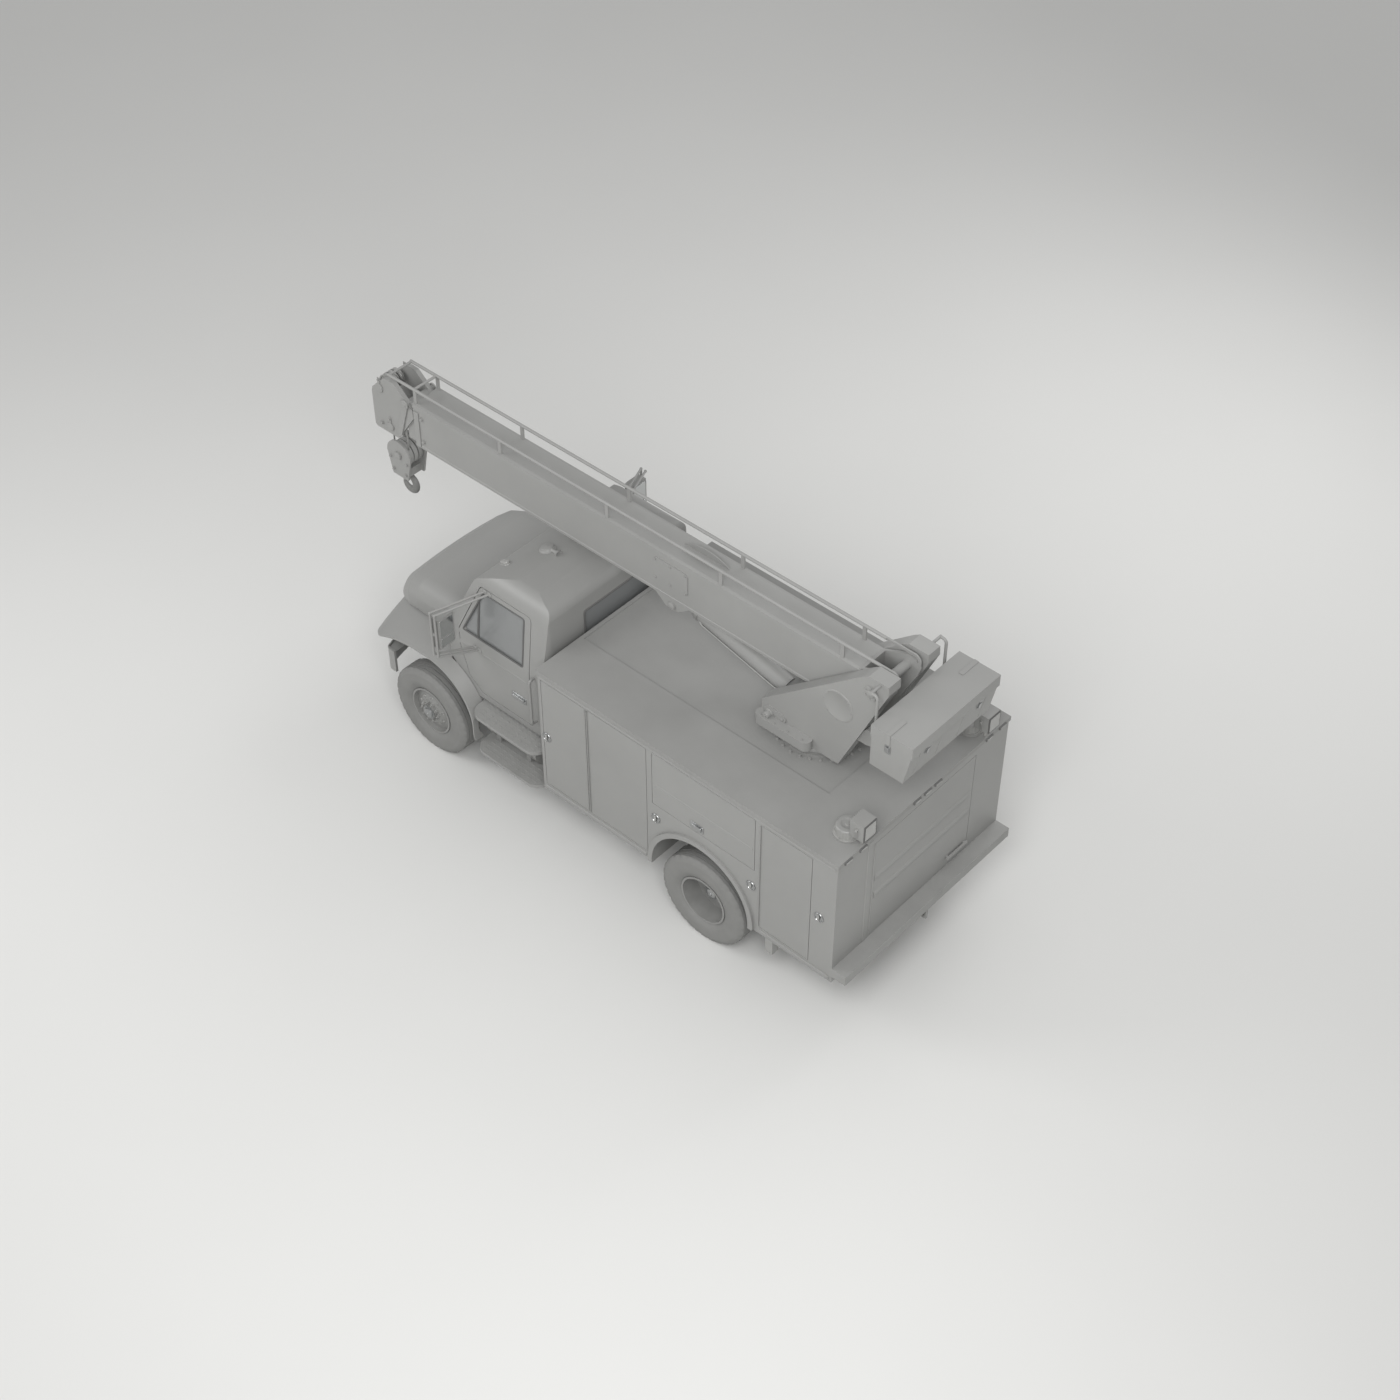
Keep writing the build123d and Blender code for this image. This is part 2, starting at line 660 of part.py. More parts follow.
# Bed floor on the rails, with front bulkhead and pedestal under the turret
bed_top = rail_top + 30
with BuildPart() as bed_floor:
    block(body_rear_x + body_wall, body_front_x, -bed_half, bed_half, rail_top, bed_top)
    block(body_front_x - body_wall, body_front_x, -bed_half, bed_half, bed_top, body_top)
    block(swing_x - 350, swing_x + 350, -350, 350, bed_top, body_top)
pieces["bed_floor"] = bed_floor

# Rear wall with the locker opening
locker_right, locker_left, locker_bottom, locker_top = -745, 705, 872, 2105
with BuildPart() as rear_wall:
    block(body_rear_x, body_rear_x + body_wall, -body_half, body_half, body_bottom, body_top)
    block(
        body_rear_x - 10, body_rear_x + body_wall + 10, locker_right, locker_left, locker_bottom, locker_top,
        Mode.SUBTRACT,
    )
pieces["rear_wall"] = rear_wall

# Locker door with its bar handle
with BuildPart() as rear_door:
    block(
        body_rear_x, body_rear_x + body_wall - 2, locker_right + door_gap, locker_left - seat_gap,
        locker_bottom + door_gap, locker_top - door_gap,
    )
    block(body_rear_x - 34, body_rear_x - 14, -720, -410, 970, 992)
    for y in (-690, -440):
        block(body_rear_x - 20, body_rear_x, y - 12, y + 12, 970, 992)
pieces["rear_door"] = rear_door

# Deck: one plate with the sunk bed panel
with BuildPart() as deck:
    block(
        body_rear_x - deck_lip, body_front_x + deck_lip, -body_half - deck_lip, body_half + deck_lip, body_top, deck_top
    )
    block(bed_recess_rear, body_front_x - 27, -bed_recess_half, bed_recess_half, ring_bottom, deck_top, Mode.SUBTRACT)
pieces["deck"] = deck

# Rear step bumper with tow eye plate
step_top, step_depth = 857, 157
with BuildPart() as rear_bumper:
    block(body_rear_x - step_depth, body_rear_x, -body_half, body_half, step_top - 110, step_top)
    block(body_rear_x - 30, body_rear_x, -500, 500, 640, step_top - 105)
    slab([(at(-25), 645), (at(-25), 755), (at(-140), 755), (at(-140), 600), (at(-70), 600)], -15, 15)
    pin_y(at(-100), 650, 26, -40, 40, Mode.SUBTRACT)
pieces["rear_bumper"] = rear_bumper

# Marker lamps along the rear lip, beacons and work lamps on the deck's rear corners
with BuildPart() as body_lamps:
    lip_x = body_rear_x - deck_lip
    for inward in (120, 320, body_half - 150, body_half):
        for side in (-1, 1):
            y = side * (body_half - inward)
            block(lip_x - 14, lip_x, y - 50, y + 50, deck_top - 40, deck_top - 12)
    for side in (-1, 1):
        for z_low, z_high, radius in ((deck_top, deck_top + 22, 130), (deck_top + 20, deck_top + 105, 110)):
            with BuildSketch(Plane.XY.offset(z_low)):
                with Locations((at(185), side * 870)):
                    Circle(radius)
            extrude(amount=z_high - z_low)
        with BuildSketch(Plane.XY.offset(deck_top)):
            with Locations((at(20), side * 880)):
                Circle(14)
        extrude(amount=130)
        block(at(-55), at(95), side * 880 - 85, side * 880 + 85, deck_top + 120, deck_top + 310)
pieces["body_lamps"] = body_lamps

# Slew ring on the deck
with BuildPart() as slew_ring:
    with BuildSketch(Plane.XY.offset(ring_bottom)):
        with Locations((swing_x, 0)):
            Circle(ring_r)
            Circle(ring_r - 110, mode=Mode.SUBTRACT)
    extrude(amount=ring_top - ring_bottom)
pieces["slew_ring"] = slew_ring

# Turret: base plate, boxed cheeks, pins, swing-drive cover, box arms and hoops
hoop_x = at(262)
cheek_outline = [
    (at(730), base_plate_top - 5), (at(1560), base_plate_top - 5), (at(1625), 2440), (at(1620), 2560),
    (at(520), 3530), (at(455), 3575), (at(240), 3575), (at(235), 3480),
]
with BuildPart() as turret:
    with BuildSketch(Plane.XY.offset(ring_top + seat_gap)):
        with Locations((swing_x, 0)):
            Circle(ring_r + 25)
    extrude(amount=base_plate_thick)
    for side in (-1, 1):
        slab(cheek_outline, side * cheek_inner, side * cheek_outer)
        with BuildSketch(Plane.XY.offset(base_plate_top)):
            with Locations((at(1330), side * (cheek_outer + 35))):
                SlotOverall(630, 130)
        extrude(amount=105)
        slab(
            [(at(-110), box_bottom - 40), (at(-110), box_bottom), (at(480), box_bottom), (at(600), box_bottom - 189),
             (at(480), box_bottom - 189)],
            side * 240, side * 300,
        )
        with BuildSketch(side_plane(max(side * cheek_outer, side * (cheek_outer + 12)))):
            with Locations((lift_base_x, lift_base_z)):
                Circle(72)
            with Locations((lift_base_x - 150, lift_base_z + 10)):
                Circle(38)
            make_hull()
            with Locations((pivot_x, pivot_z)):
                RegularPolygon(pivot_pin_r + 35, 6)
        extrude(amount=12)
        with BuildLine(side_plane(side * 470)) as hoop:
            FilletPolyline((at(330), 3545), (hoop_x, 3545), (hoop_x, 2960), radius=40)
        with BuildSketch(Plane(origin=hoop.line @ 0, z_dir=hoop.line % 0)):
            Circle(14)
        sweep(path=hoop.line)
        pin_y(at(330), 3545, 14, side * (cheek_outer - 5), side * 482)
        block(box_front_x, hoop_x + 10, side * 470 - 14, side * 470 + 14, 2960, 3010)
    pin_y(pivot_x, pivot_z, pivot_pin_r, -cheek_outer - 15, cheek_outer + 15)
    pin_y(lift_base_x, lift_base_z, lift_pin_r, -cheek_outer - 15, cheek_outer + 15)
pieces["turret"] = turret

# Tool box and its lid
with BuildPart() as tool_box:
    slab(
        [(at(-154), box_bottom), (box_front_x, box_bottom), (box_front_x, box_top), (at(-221), box_top)],
        -box_half, box_half,
    )
    with BuildSketch(side_plane(box_half - box_wall)):
        with BuildLine():
            Polyline(
                (at(-154) + box_wall, box_bottom + box_wall), (box_front_x - box_wall, box_bottom + box_wall),
                (box_front_x - box_wall, box_top + 5), (at(-222) + box_wall, box_top + 5), close=True,
            )
        make_face()
    extrude(amount=2 * (box_half - box_wall), mode=Mode.SUBTRACT)
pieces["tool_box"] = tool_box
with BuildPart() as tool_box_lid:
    block(box_rear_x, box_front_x + 7, -box_half - 7, box_half + 7, box_top + seat_gap, lid_top)
    block(
        at(-221), box_front_x - box_wall, -box_half + box_wall, box_half - box_wall, box_top, lid_top - box_wall,
        Mode.SUBTRACT,
    )
pieces["tool_box_lid"] = tool_box_lid


def boom_profile(half, low, high, valley, flange):
    """Boom cross section with a shallow valley in the top and edge flanges, in the sketch being built."""
    with BuildLine() as outline:
        Polyline(
            (-half, low), (half, low), (half, high - 60), (half + flange, high - 55), (half + flange, high - 8),
            (half - 20, high), (0, high - valley), (20 - half, high), (-half - flange, high - 8),
            (-half - flange, high - 55), (-half, high - 60), close=True,
        )
    make_face(outline.edges())


# Boom base: hollow box with pivot ears, lift lug and tube rails
lug_inner = boom_half - 28
with BuildPart() as boom_base:
    with BuildSketch(Plane.YZ.offset(boom_rear_x)):
        boom_profile(boom_half, boom_bottom, boom_top, 30, 8)
    extrude(amount=boom_front_x - boom_rear_x)
    slab(
        [(at(700), boom_bottom), (at(700), boom_top), (at(520), 3470), (at(420), 3510), (at(330), 3490),
         (at(280), 3420), (at(300), 3330), (at(480), 2960), (at(560), boom_bottom)],
        -boom_half, boom_half,
    )
    slab(
        [(at(2660), boom_bottom + 5), (at(2800), 2755), (at(2880), 2740), (at(2960), 2755), (at(3090), boom_bottom + 5)],
        -boom_half, boom_half,
    )
    for side in (-1, 1):
        with BuildSketch(side_plane(max(side * (boom_half - 5), side * (boom_half + 8)))):
            with Locations((at(2890), 3150)):
                RectangleRounded(420, 260, 40)
        extrude(amount=13)
        with BuildLine(side_plane(side * rail_tube_y)) as rail:
            FilletPolyline(
                (boom_front_x + 350, rail_tube_z), (at(295), rail_tube_z), (at(295), 3400), radius=60,
            )
        with BuildSketch(Plane(origin=rail.line @ 0, z_dir=rail.line % 0)):
            Circle(rail_tube_r)
        sweep(path=rail.line)
        for x in (at(900), at(2300), at(3700), boom_front_x - 1200, boom_front_x - 30):
            block(x - 20, x + 20, side * rail_tube_y - 8, side * rail_tube_y + 8, 3360, rail_tube_z)
    for x in (boom_front_x - 20, boom_front_x + 335):
        pin_y(x, rail_tube_z, rail_tube_r - 2, -rail_tube_y, rail_tube_y)
    with BuildSketch(side_plane(-60)):
        with BuildLine():
            crest = ThreePointArc((at(2350), 3350), (at(2655), 3440), (at(2960), 3350))
            Line(crest @ 0, crest @ 1)
        make_face()
    extrude(amount=12)
    with BuildSketch(Plane.YZ.offset(at(950))):
        boom_profile(boom_half - boom_wall, boom_bottom + boom_wall, boom_top - boom_wall, 30, 0)
    extrude(amount=boom_front_x - at(900), mode=Mode.SUBTRACT)
    block(at(200), at(660), -lug_inner, lug_inner, 2600, 3600, Mode.SUBTRACT)
    block(at(2600), at(3150), -lug_inner, lug_inner, 2600, boom_bottom, Mode.SUBTRACT)
    pin_y(pivot_x, pivot_z, pivot_pin_r + seat_gap, -boom_half - 20, boom_half + 20, Mode.SUBTRACT)
    for side in (-1, 1):
        pin_y(lift_eye_x, lift_eye_z, lift_pin_r + 12, side * (boom_half - 5), side * (boom_half + 12))
    pad_half, pad_low = boom_half - boom_wall, boom_bottom + boom_wall
    pad_rear, pad_front = boom_front_x - 150, boom_front_x - 10
    block(pad_rear, pad_front, -pad_half + 20, pad_half - 20, pad_low - 1, pad_low + slide_gap - seat_gap)
    for side in (-1, 1):
        y_from, y_to = side * (pad_half + 1), side * (pad_half - slide_gap + seat_gap)
        block(pad_rear, pad_front, y_from, y_to, pad_low + 60, 3280)
pieces["boom_base"] = boom_base

# Boom extension with head cheeks
ext_half = boom_half - boom_wall - slide_gap
ext_low, ext_high = boom_bottom + boom_wall + slide_gap, boom_top - boom_wall - 40
head_outline = [
    (boom_front_x + 10, 3180), (boom_front_x + 17, 3274), (boom_front_x + 260, 3478), (boom_front_x + 355, 3486),
    (boom_front_x + 431, 3454), (boom_front_x + 590, 3290), (head_front_x, 3240), (head_front_x, 2830),
    (boom_front_x + 580, 2810), (boom_front_x + 270, 2810),
]
with BuildPart() as boom_extension:
    block(at(1000), boom_front_x + 130, -ext_half, ext_half, ext_low, ext_high)
    for side in (-1, 1):
        slab(head_outline, side * (ext_half - 24), side * (ext_half + 24))
    pin_y(boom_front_x + 480, 3330, 40, -ext_half - 30, ext_half + 30)
    pin_y(hang_x, hang_z, 34, -ext_half - 30, ext_half + 30)
    block(at(990), boom_front_x + 140, 14 - ext_half, ext_half - 14, ext_low + 14, ext_high - 14, Mode.SUBTRACT)
pieces["boom_extension"] = boom_extension

# Head sheaves on their pins
sheave_r, rope_r = 95, 9
with BuildPart() as head_sheaves:
    for x, z, bore in ((boom_front_x + 480, 3330, 40), (hang_x, hang_z, 34)):
        for y in (-62, 0, 62):
            pin_y(x, z, sheave_r, y - 22, y + 22)
        pin_y(x, z, 60, -90, 90)
        pin_y(x, z, bore + seat_gap, -120, 120, Mode.SUBTRACT)
pieces["head_sheaves"] = head_sheaves

# Lift cylinder drawn closed, along its own line between the two pins
lift_dir = Vector(lift_eye_x - lift_base_x, 0, lift_eye_z - lift_base_z)
lift_length = lift_dir.length
lift_plane = Plane(origin=(lift_base_x, 0, lift_base_z), x_dir=(0, 1, 0), z_dir=lift_dir)
barrel_r, stage_r, rod_r, eye_half_y, eye_r = 88, 66, 45, 120, 56
barrel_end = lift_length - 190
with BuildPart() as lift_barrel:
    with BuildSketch(lift_plane.offset(80)):
        Circle(barrel_r)
    extrude(amount=barrel_end - 80)
    with BuildSketch(lift_plane):
        Rectangle(2 * eye_half_y, 2 * eye_r - 20)
    extrude(amount=90)
    pin_y(lift_base_x, lift_base_z, eye_r, -eye_half_y, eye_half_y)
    with BuildSketch(lift_plane.offset(110)):
        Circle(stage_r + seat_gap)
    extrude(amount=barrel_end, mode=Mode.SUBTRACT)
    pin_y(lift_base_x, lift_base_z, lift_pin_r + seat_gap, -eye_half_y, eye_half_y, Mode.SUBTRACT)
pieces["lift_barrel"] = lift_barrel
with BuildPart() as lift_stage:
    with BuildSketch(lift_plane.offset(120)):
        Circle(stage_r)
        Circle(rod_r + seat_gap, mode=Mode.SUBTRACT)
    extrude(amount=barrel_end - 120 + 40)
pieces["lift_stage"] = lift_stage
with BuildPart() as lift_rod:
    with BuildSketch(lift_plane.offset(130)):
        Circle(rod_r)
    extrude(amount=lift_length - 130 - 40)
    pin_y(lift_eye_x, lift_eye_z, eye_r, -eye_half_y, eye_half_y)
    pin_y(lift_eye_x, lift_eye_z, lift_pin_r, seat_gap - lug_inner, lug_inner - seat_gap)
pieces["lift_rod"] = lift_rod

# Hook block with sheaves, rope falls and hook
block_half, block_r = 118, 168
rope_x = sheave_r + rope_r + seat_gap
with BuildPart() as hook_block:
    for side in (-1, 1):
        with BuildSketch(side_plane(max(side * (block_half - 22), side * block_half))):
            with BuildLine():
                ThreePointArc((hang_x - block_r, block_z), (hang_x, block_z + block_r), (hang_x + block_r, block_z))
                Polyline(
                    (hang_x + block_r, block_z), (hang_x + 110, 2235), (hang_x - 110, 2235), (hang_x - block_r, block_z)
                )
            make_face()
        extrude(amount=22)
    for y in (-62, 0, 62):
        pin_y(hang_x, block_z, 140, y - 24, y + 24)
    pin_y(hang_x, block_z, 45, -block_half - 14, block_half + 14)
    block(hang_x - 75, hang_x + 75, -block_half + 20, block_half - 20, 2235, 2330)
    for y in (-62, 62):
        for x in (hang_x - rope_x, hang_x + rope_x):
            with BuildSketch(Plane.XY.offset(block_z)):
                with Locations((x, y)):
                    Circle(rope_r)
            extrude(amount=hang_z - block_z)
pieces["hook_block"] = hook_block
bowl_r, hook_r, bowl_z = 85, 27, 2095
with BuildPart() as hook:
    with BuildSketch(Plane.YZ.offset(hang_x)):
        with Locations((0, bowl_z + bowl_r)):
            Circle(hook_r)
    revolve(axis=Axis((hang_x, 0, bowl_z), (0, -1, 0)), revolution_arc=270)
    with BuildSketch(Plane.XY.offset(bowl_z + bowl_r)):
        with Locations((hang_x, 0)):
            Circle(hook_r)
    extrude(amount=2235 - seat_gap - bowl_z - bowl_r)
pieces["hook"] = hook

# Knuckles, wheels and tyres
ear_thick = 40
for side, name in ((1, "left"), (-1, "right")):
    with BuildPart() as knuckle:
        for z_low in (hub_z - eye_half - ear_thick - 5, hub_z + eye_half + 5):
            with BuildSketch(Plane.XY.offset(z_low)):
                with Locations((front_axle_x, side * kingpin_y)):
                    Circle(50)
                with Locations((front_axle_x, side * (kingpin_y + 50))):
                    Rectangle(90, 100)
            extrude(amount=ear_thick)
        block(
            front_axle_x - 45, front_axle_x + 45, side * (kingpin_y + 60), side * (kingpin_y + 100),
            hub_z - eye_half - ear_thick - 5, hub_z + eye_half + ear_thick + 5,
        )
        with BuildSketch(Plane.XY.offset(hub_z - eye_half - ear_thick - 5)):
            with Locations((front_axle_x, side * kingpin_y)):
                Circle(kingpin_r)
        extrude(amount=2 * (eye_half + ear_thick + 5))
        pin_y(front_axle_x, hub_z, spindle_r, side * (kingpin_y + 90), side * (front_tyre_y + 90))
    pieces["knuckle_" + name] = knuckle

    wheels = (
        # name, x, middle y, tyre offsets, wheel outline as (axial, radius)
        ("front", front_axle_x, front_tyre_y, (0,), (
            (-104, 270), (-94, 270), (-94, 261.7), (94, 261.7), (94, 270), (104, 270), (104, 250), (55, 240),
            (65, 190), (98, 140), (98, 85), (124, 80), (124, 0), (92, 0), (92, spindle_r + seat_gap),
            (-20, spindle_r + seat_gap), (-20, 85), (80, 130), (46, 180), (36, 238), (-85, 242), (-104, 250),
        )),
        ("rear", rear_axle_x, twin_mid_y, (-twin_offset, twin_offset), (
            (254, 270), (254, 250), (60, 240), (50, 190), (28, 170), (28, 95), (120, 80), (120, 0), (80, 0),
            (80, axle_tube_r + seat_gap), (-120, axle_tube_r + seat_gap), (-120, 95), (-28, 95), (-28, 170),
            (-50, 190), (-60, 240), (-254, 250), (-254, 270), (-244, 270), (-244, 261.7), (-56, 261.7), (-56, 270),
            (-46, 270), (-46, 255), (46, 255), (46, 270), (56, 270), (56, 261.7), (244, 261.7), (244, 270),
        )),
    )
    for axle, x, middle_y, offsets, outline in wheels:
        hub = (x, side * middle_y, hub_z)
        wheel_plane = Plane(origin=hub, x_dir=(0, side, 0), z_dir=(1, 0, 0))
        with BuildPart() as wheel:
            with BuildSketch(wheel_plane):
                with BuildLine():
                    Polyline(*outline, close=True)
                make_face()
            revolve(axis=Axis(hub, (0, 1, 0)))
        pieces[f"wheel_{axle}_{name}"] = wheel
        half = tyre_width / 2
        with BuildPart() as tyre:
            for along in offsets:
                with BuildSketch(wheel_plane):
                    with BuildLine():
                        Line((along - 85, bead_r), (along + 85, bead_r))
                        ThreePointArc((along + 85, bead_r), (along + half, 385), (along + 108, 494))
                        Line((along + 108, 494), (along + 90, tyre_r))
                        Line((along + 90, tyre_r), (along - 90, tyre_r))
                        Line((along - 90, tyre_r), (along - 108, 494))
                        ThreePointArc((along - 108, 494), (along - half, 385), (along - 85, bead_r))
                    make_face()
                revolve(axis=Axis(hub, (0, 1, 0)))
        pieces[f"tyre_{axle}_{name}"] = tyre

for name, piece in pieces.items():
    piece.part.label = name
    export_step(piece.part, f"parts/{name}.step")
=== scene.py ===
"""Derrick truck: finishes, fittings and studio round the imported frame, in metres."""
import math

import bmesh
import bpy
from mathutils import Matrix, Vector


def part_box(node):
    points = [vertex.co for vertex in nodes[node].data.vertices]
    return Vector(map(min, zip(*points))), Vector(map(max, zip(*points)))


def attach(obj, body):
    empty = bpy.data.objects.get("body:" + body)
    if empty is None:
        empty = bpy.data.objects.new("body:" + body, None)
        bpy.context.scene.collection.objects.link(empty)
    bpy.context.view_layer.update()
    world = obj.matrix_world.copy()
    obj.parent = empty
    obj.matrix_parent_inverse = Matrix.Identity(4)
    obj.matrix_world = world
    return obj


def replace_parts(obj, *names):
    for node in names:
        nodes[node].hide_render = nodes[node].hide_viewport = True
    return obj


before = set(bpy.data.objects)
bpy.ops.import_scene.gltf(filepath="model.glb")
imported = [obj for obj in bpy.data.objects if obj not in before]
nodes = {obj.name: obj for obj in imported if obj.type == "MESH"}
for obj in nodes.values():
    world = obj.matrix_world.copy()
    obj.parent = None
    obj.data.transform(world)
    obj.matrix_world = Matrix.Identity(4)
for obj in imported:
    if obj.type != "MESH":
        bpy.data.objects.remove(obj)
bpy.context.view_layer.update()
scene = bpy.context.scene

# Camera: the photograph's place and angle, 1400 x 1400 frame
camera_data = bpy.data.cameras.new("camera")
camera_data.sensor_width = 36.0
camera_data.sensor_fit = "HORIZONTAL"
camera_data.lens = 59.22
camera_data.clip_end = 200.0
camera = bpy.data.objects.new("camera", camera_data)
camera.location = (-11.184, 11.696, 16.995)
camera.rotation_euler = (math.radians(90 - 44.40), 0, math.radians(-47.99 - 90))
scene.collection.objects.link(camera)
scene.camera = camera
scene.view_settings.view_transform = "Standard"

# Places that the fittings are measured from
rear_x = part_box("rear_wall")[0].x
side_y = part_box("door_a_left")[1].y
deck_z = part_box("deck")[1].z
cab_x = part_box("cab_shell")[0].x
boom_tip_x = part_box("boom_extension")[1].x - 0.605
boom_y = 0.170
cab_y = 1.030
belt_z = 1.850
sides = ((1, "left"), (-1, "right"))
X, Y, Z = Vector((1, 0, 0)), Vector((0, 1, 0)), Vector((0, 0, 1))


def at(distance):
    """X of a place measured forward from the service body's rear face."""
    return rear_x + distance


def ahead(distance):
    """X of a place measured forward from the cab's rear face."""
    return cab_x + distance


# Finishes
def srgb(code):
    """Linear colour from an sRGB hex code."""
    values = [int(code[i:i + 2], 16) / 255 for i in (0, 2, 4)]
    return [v / 12.92 if v <= 0.04045 else ((v + 0.055) / 1.055) ** 2.4 for v in values] + [1.0]


def add_node(tree, kind, settings, links):
    """Add a node, set its sockets or properties by name, and link outputs into it."""
    node = tree.nodes.new(kind)
    for name, value in settings.items():
        if name in node.inputs:
            node.inputs[name].default_value = value
        else:
            setattr(node, name, value)
    for name, output in links.items():
        tree.links.new(output, node.inputs[name])
    return node


finishes = {}


def coat(name, light, dark, rough, metal=0.0, drift_mm=700, grain_mm=3.0, relief_mm=0.05, sockets=None):
    """A surface whose tone drifts over drift_mm and whose gloss and height change over grain_mm."""
    material = bpy.data.materials.new(name)
    material.use_nodes = True
    tree = material.node_tree
    shader = tree.nodes["Principled BSDF"]
    shader.inputs["Metallic"].default_value = metal
    for socket, value in (sockets or {}).items():
        shader.inputs[socket].default_value = value
    place = add_node(tree, "ShaderNodeTexCoord", {}, {})
    where = place.outputs["Object"]
    drift = add_node(tree, "ShaderNodeTexNoise", {"Scale": 1000 / drift_mm, "Detail": 4.0}, {"Vector": where})
    tone = add_node(
        tree, "ShaderNodeMixRGB", {"Color1": srgb(light), "Color2": srgb(dark)}, {"Fac": drift.outputs["Fac"]}
    )
    grain = add_node(tree, "ShaderNodeTexNoise", {"Scale": 1000 / grain_mm, "Detail": 2.0}, {"Vector": where})
    gloss = add_node(
        tree, "ShaderNodeMapRange", {"To Min": max(rough - 0.08, 0.02), "To Max": rough + 0.08},
        {"Value": grain.outputs["Fac"]},
    )
    relief = add_node(
        tree, "ShaderNodeBump", {"Strength": 0.5, "Distance": relief_mm / 1000},
        {"Height": grain.outputs["Fac"]},
    )
    tree.links.new(tone.outputs["Color"], shader.inputs["Base Color"])
    tree.links.new(gloss.outputs["Result"], shader.inputs["Roughness"])
    tree.links.new(relief.outputs["Normal"], shader.inputs["Normal"])
    finishes[name] = material
    return tree, where, relief


# Two-pack enamel, sprayed: even satin grey with faint orange peel and a drift of road dust
coat("body_paint", "979795", "8a8a88", 0.42, drift_mm=900, grain_mm=4.0, relief_mm=0.06, sockets={"IOR": 1.5})
# The same enamel on the boom, a little thicker over the weld-grained steel
coat("boom_paint", "9a9a98", "8d8d8b", 0.45, drift_mm=600, grain_mm=7.0, relief_mm=0.12, sockets={"IOR": 1.5})
# Chassis enamel, brushed on: darker, flatter, with dust settled in it
coat("chassis_paint", "6d6d6b", "595957", 0.62, drift_mm=250, grain_mm=9.0, relief_mm=0.25)
# Wheel enamel: baked, smooth, brake dust in the drift
coat("wheel_steel", "8f8f8d", "7a7a78", 0.40, drift_mm=160, grain_mm=3.0, relief_mm=0.05)
# Turned and ground steel: fine grain, clear highlights
coat("machined_steel", "b6b6b4", "a2a2a0", 0.42, metal=0.7, drift_mm=120, grain_mm=1.5, relief_mm=0.02)
# Hard chrome on the rod: near mirror, finely polished
coat("plated_rod", "d2d3d3", "c2c3c3", 0.14, metal=1.0, drift_mm=300, grain_mm=1.0, relief_mm=0.005)
# Polished bright trim round lamps and handles
coat("bright_trim", "b0b1b1", "a0a1a1", 0.28, metal=1.0, drift_mm=200, grain_mm=2.0, relief_mm=0.01)
# Sand-cast steel under thin paint: coarse orange-peel skin
coat("cast_metal", "858583", "757573", 0.58, metal=0.2, drift_mm=90, grain_mm=5.0, relief_mm=0.5)
# Moulded ABS in the cab: dull, with a leather-like mould grain
coat("cab_plastic", "727271", "686867", 0.60, drift_mm=300, grain_mm=1.6, relief_mm=0.12)
# Silvered mirror glass
coat("mirror_silver", "d4d6d6", "cfd1d1", 0.10, metal=1.0, drift_mm=500, grain_mm=40.0, relief_mm=0.0)
# Rubber seals and wiper blades, dusted to a mid grey
coat("seal_rubber", "666665", "5b5b5a", 0.72, drift_mm=140, grain_mm=2.5, relief_mm=0.1)

# Tyre rubber: matt, dusted to a mid grey, with a mould grain that is drawn coarse to show
coat("tyre_rubber", "868684", "797977", 0.80, drift_mm=180, grain_mm=6.0, relief_mm=0.5)

# Deck plate: enamel rolled over grit, 7 mm clumps drawn coarse to show
tree, where, relief = coat("deck_plate", "949492", "858583", 0.58, drift_mm=500, grain_mm=12.0, relief_mm=0.6)
grit = add_node(tree, "ShaderNodeTexVoronoi", {"Scale": 1000 / 7}, {"Vector": where})
tree.links.new(grit.outputs["Distance"], relief.inputs["Height"])

# A wave texture of scale 1 repeats every 2 pi / 20 m along an axis, and every 2 pi / 10 m on the diagonal
axis_wave, diagonal_wave = 2 * math.pi / 20, 2 * math.pi / 10

# Tread plate on steps and bumper: crossed bars at 30 mm pitch
tree, where, relief = coat("tread_plate", "979795", "888886", 0.50, drift_mm=200, relief_mm=1.2)
diagonal = {"Scale": diagonal_wave / 0.030, "bands_direction": "DIAGONAL"}
bars = add_node(tree, "ShaderNodeTexWave", diagonal, {"Vector": where})
turn = add_node(tree, "ShaderNodeMapping", {"Rotation": (0, 0, math.radians(90))}, {"Vector": where})
cross = add_node(tree, "ShaderNodeTexWave", diagonal, {"Vector": turn.outputs["Vector"]})
lozenge = add_node(tree, "ShaderNodeMath", {"operation": "MULTIPLY"}, {})
tree.links.new(bars.outputs["Fac"], lozenge.inputs[0])
tree.links.new(cross.outputs["Fac"], lozenge.inputs[1])
tree.links.new(lozenge.outputs["Value"], relief.inputs["Height"])

# Rolled aluminium tank skin: drawn along its length, so the grain is long in X
tree, where, relief = coat("tank_alloy", "b4b5b5", "a2a3a3", 0.36, metal=1.0, drift_mm=250, relief_mm=0.03)
drawn = add_node(tree, "ShaderNodeMapping", {"Scale": (1, 40, 40)}, {"Vector": where})
lines = add_node(
    tree, "ShaderNodeTexNoise", {"Scale": 12.0, "Detail": 3.0}, {"Vector": drawn.outputs["Vector"]}
)
tree.links.new(lines.outputs["Fac"], relief.inputs["Height"])

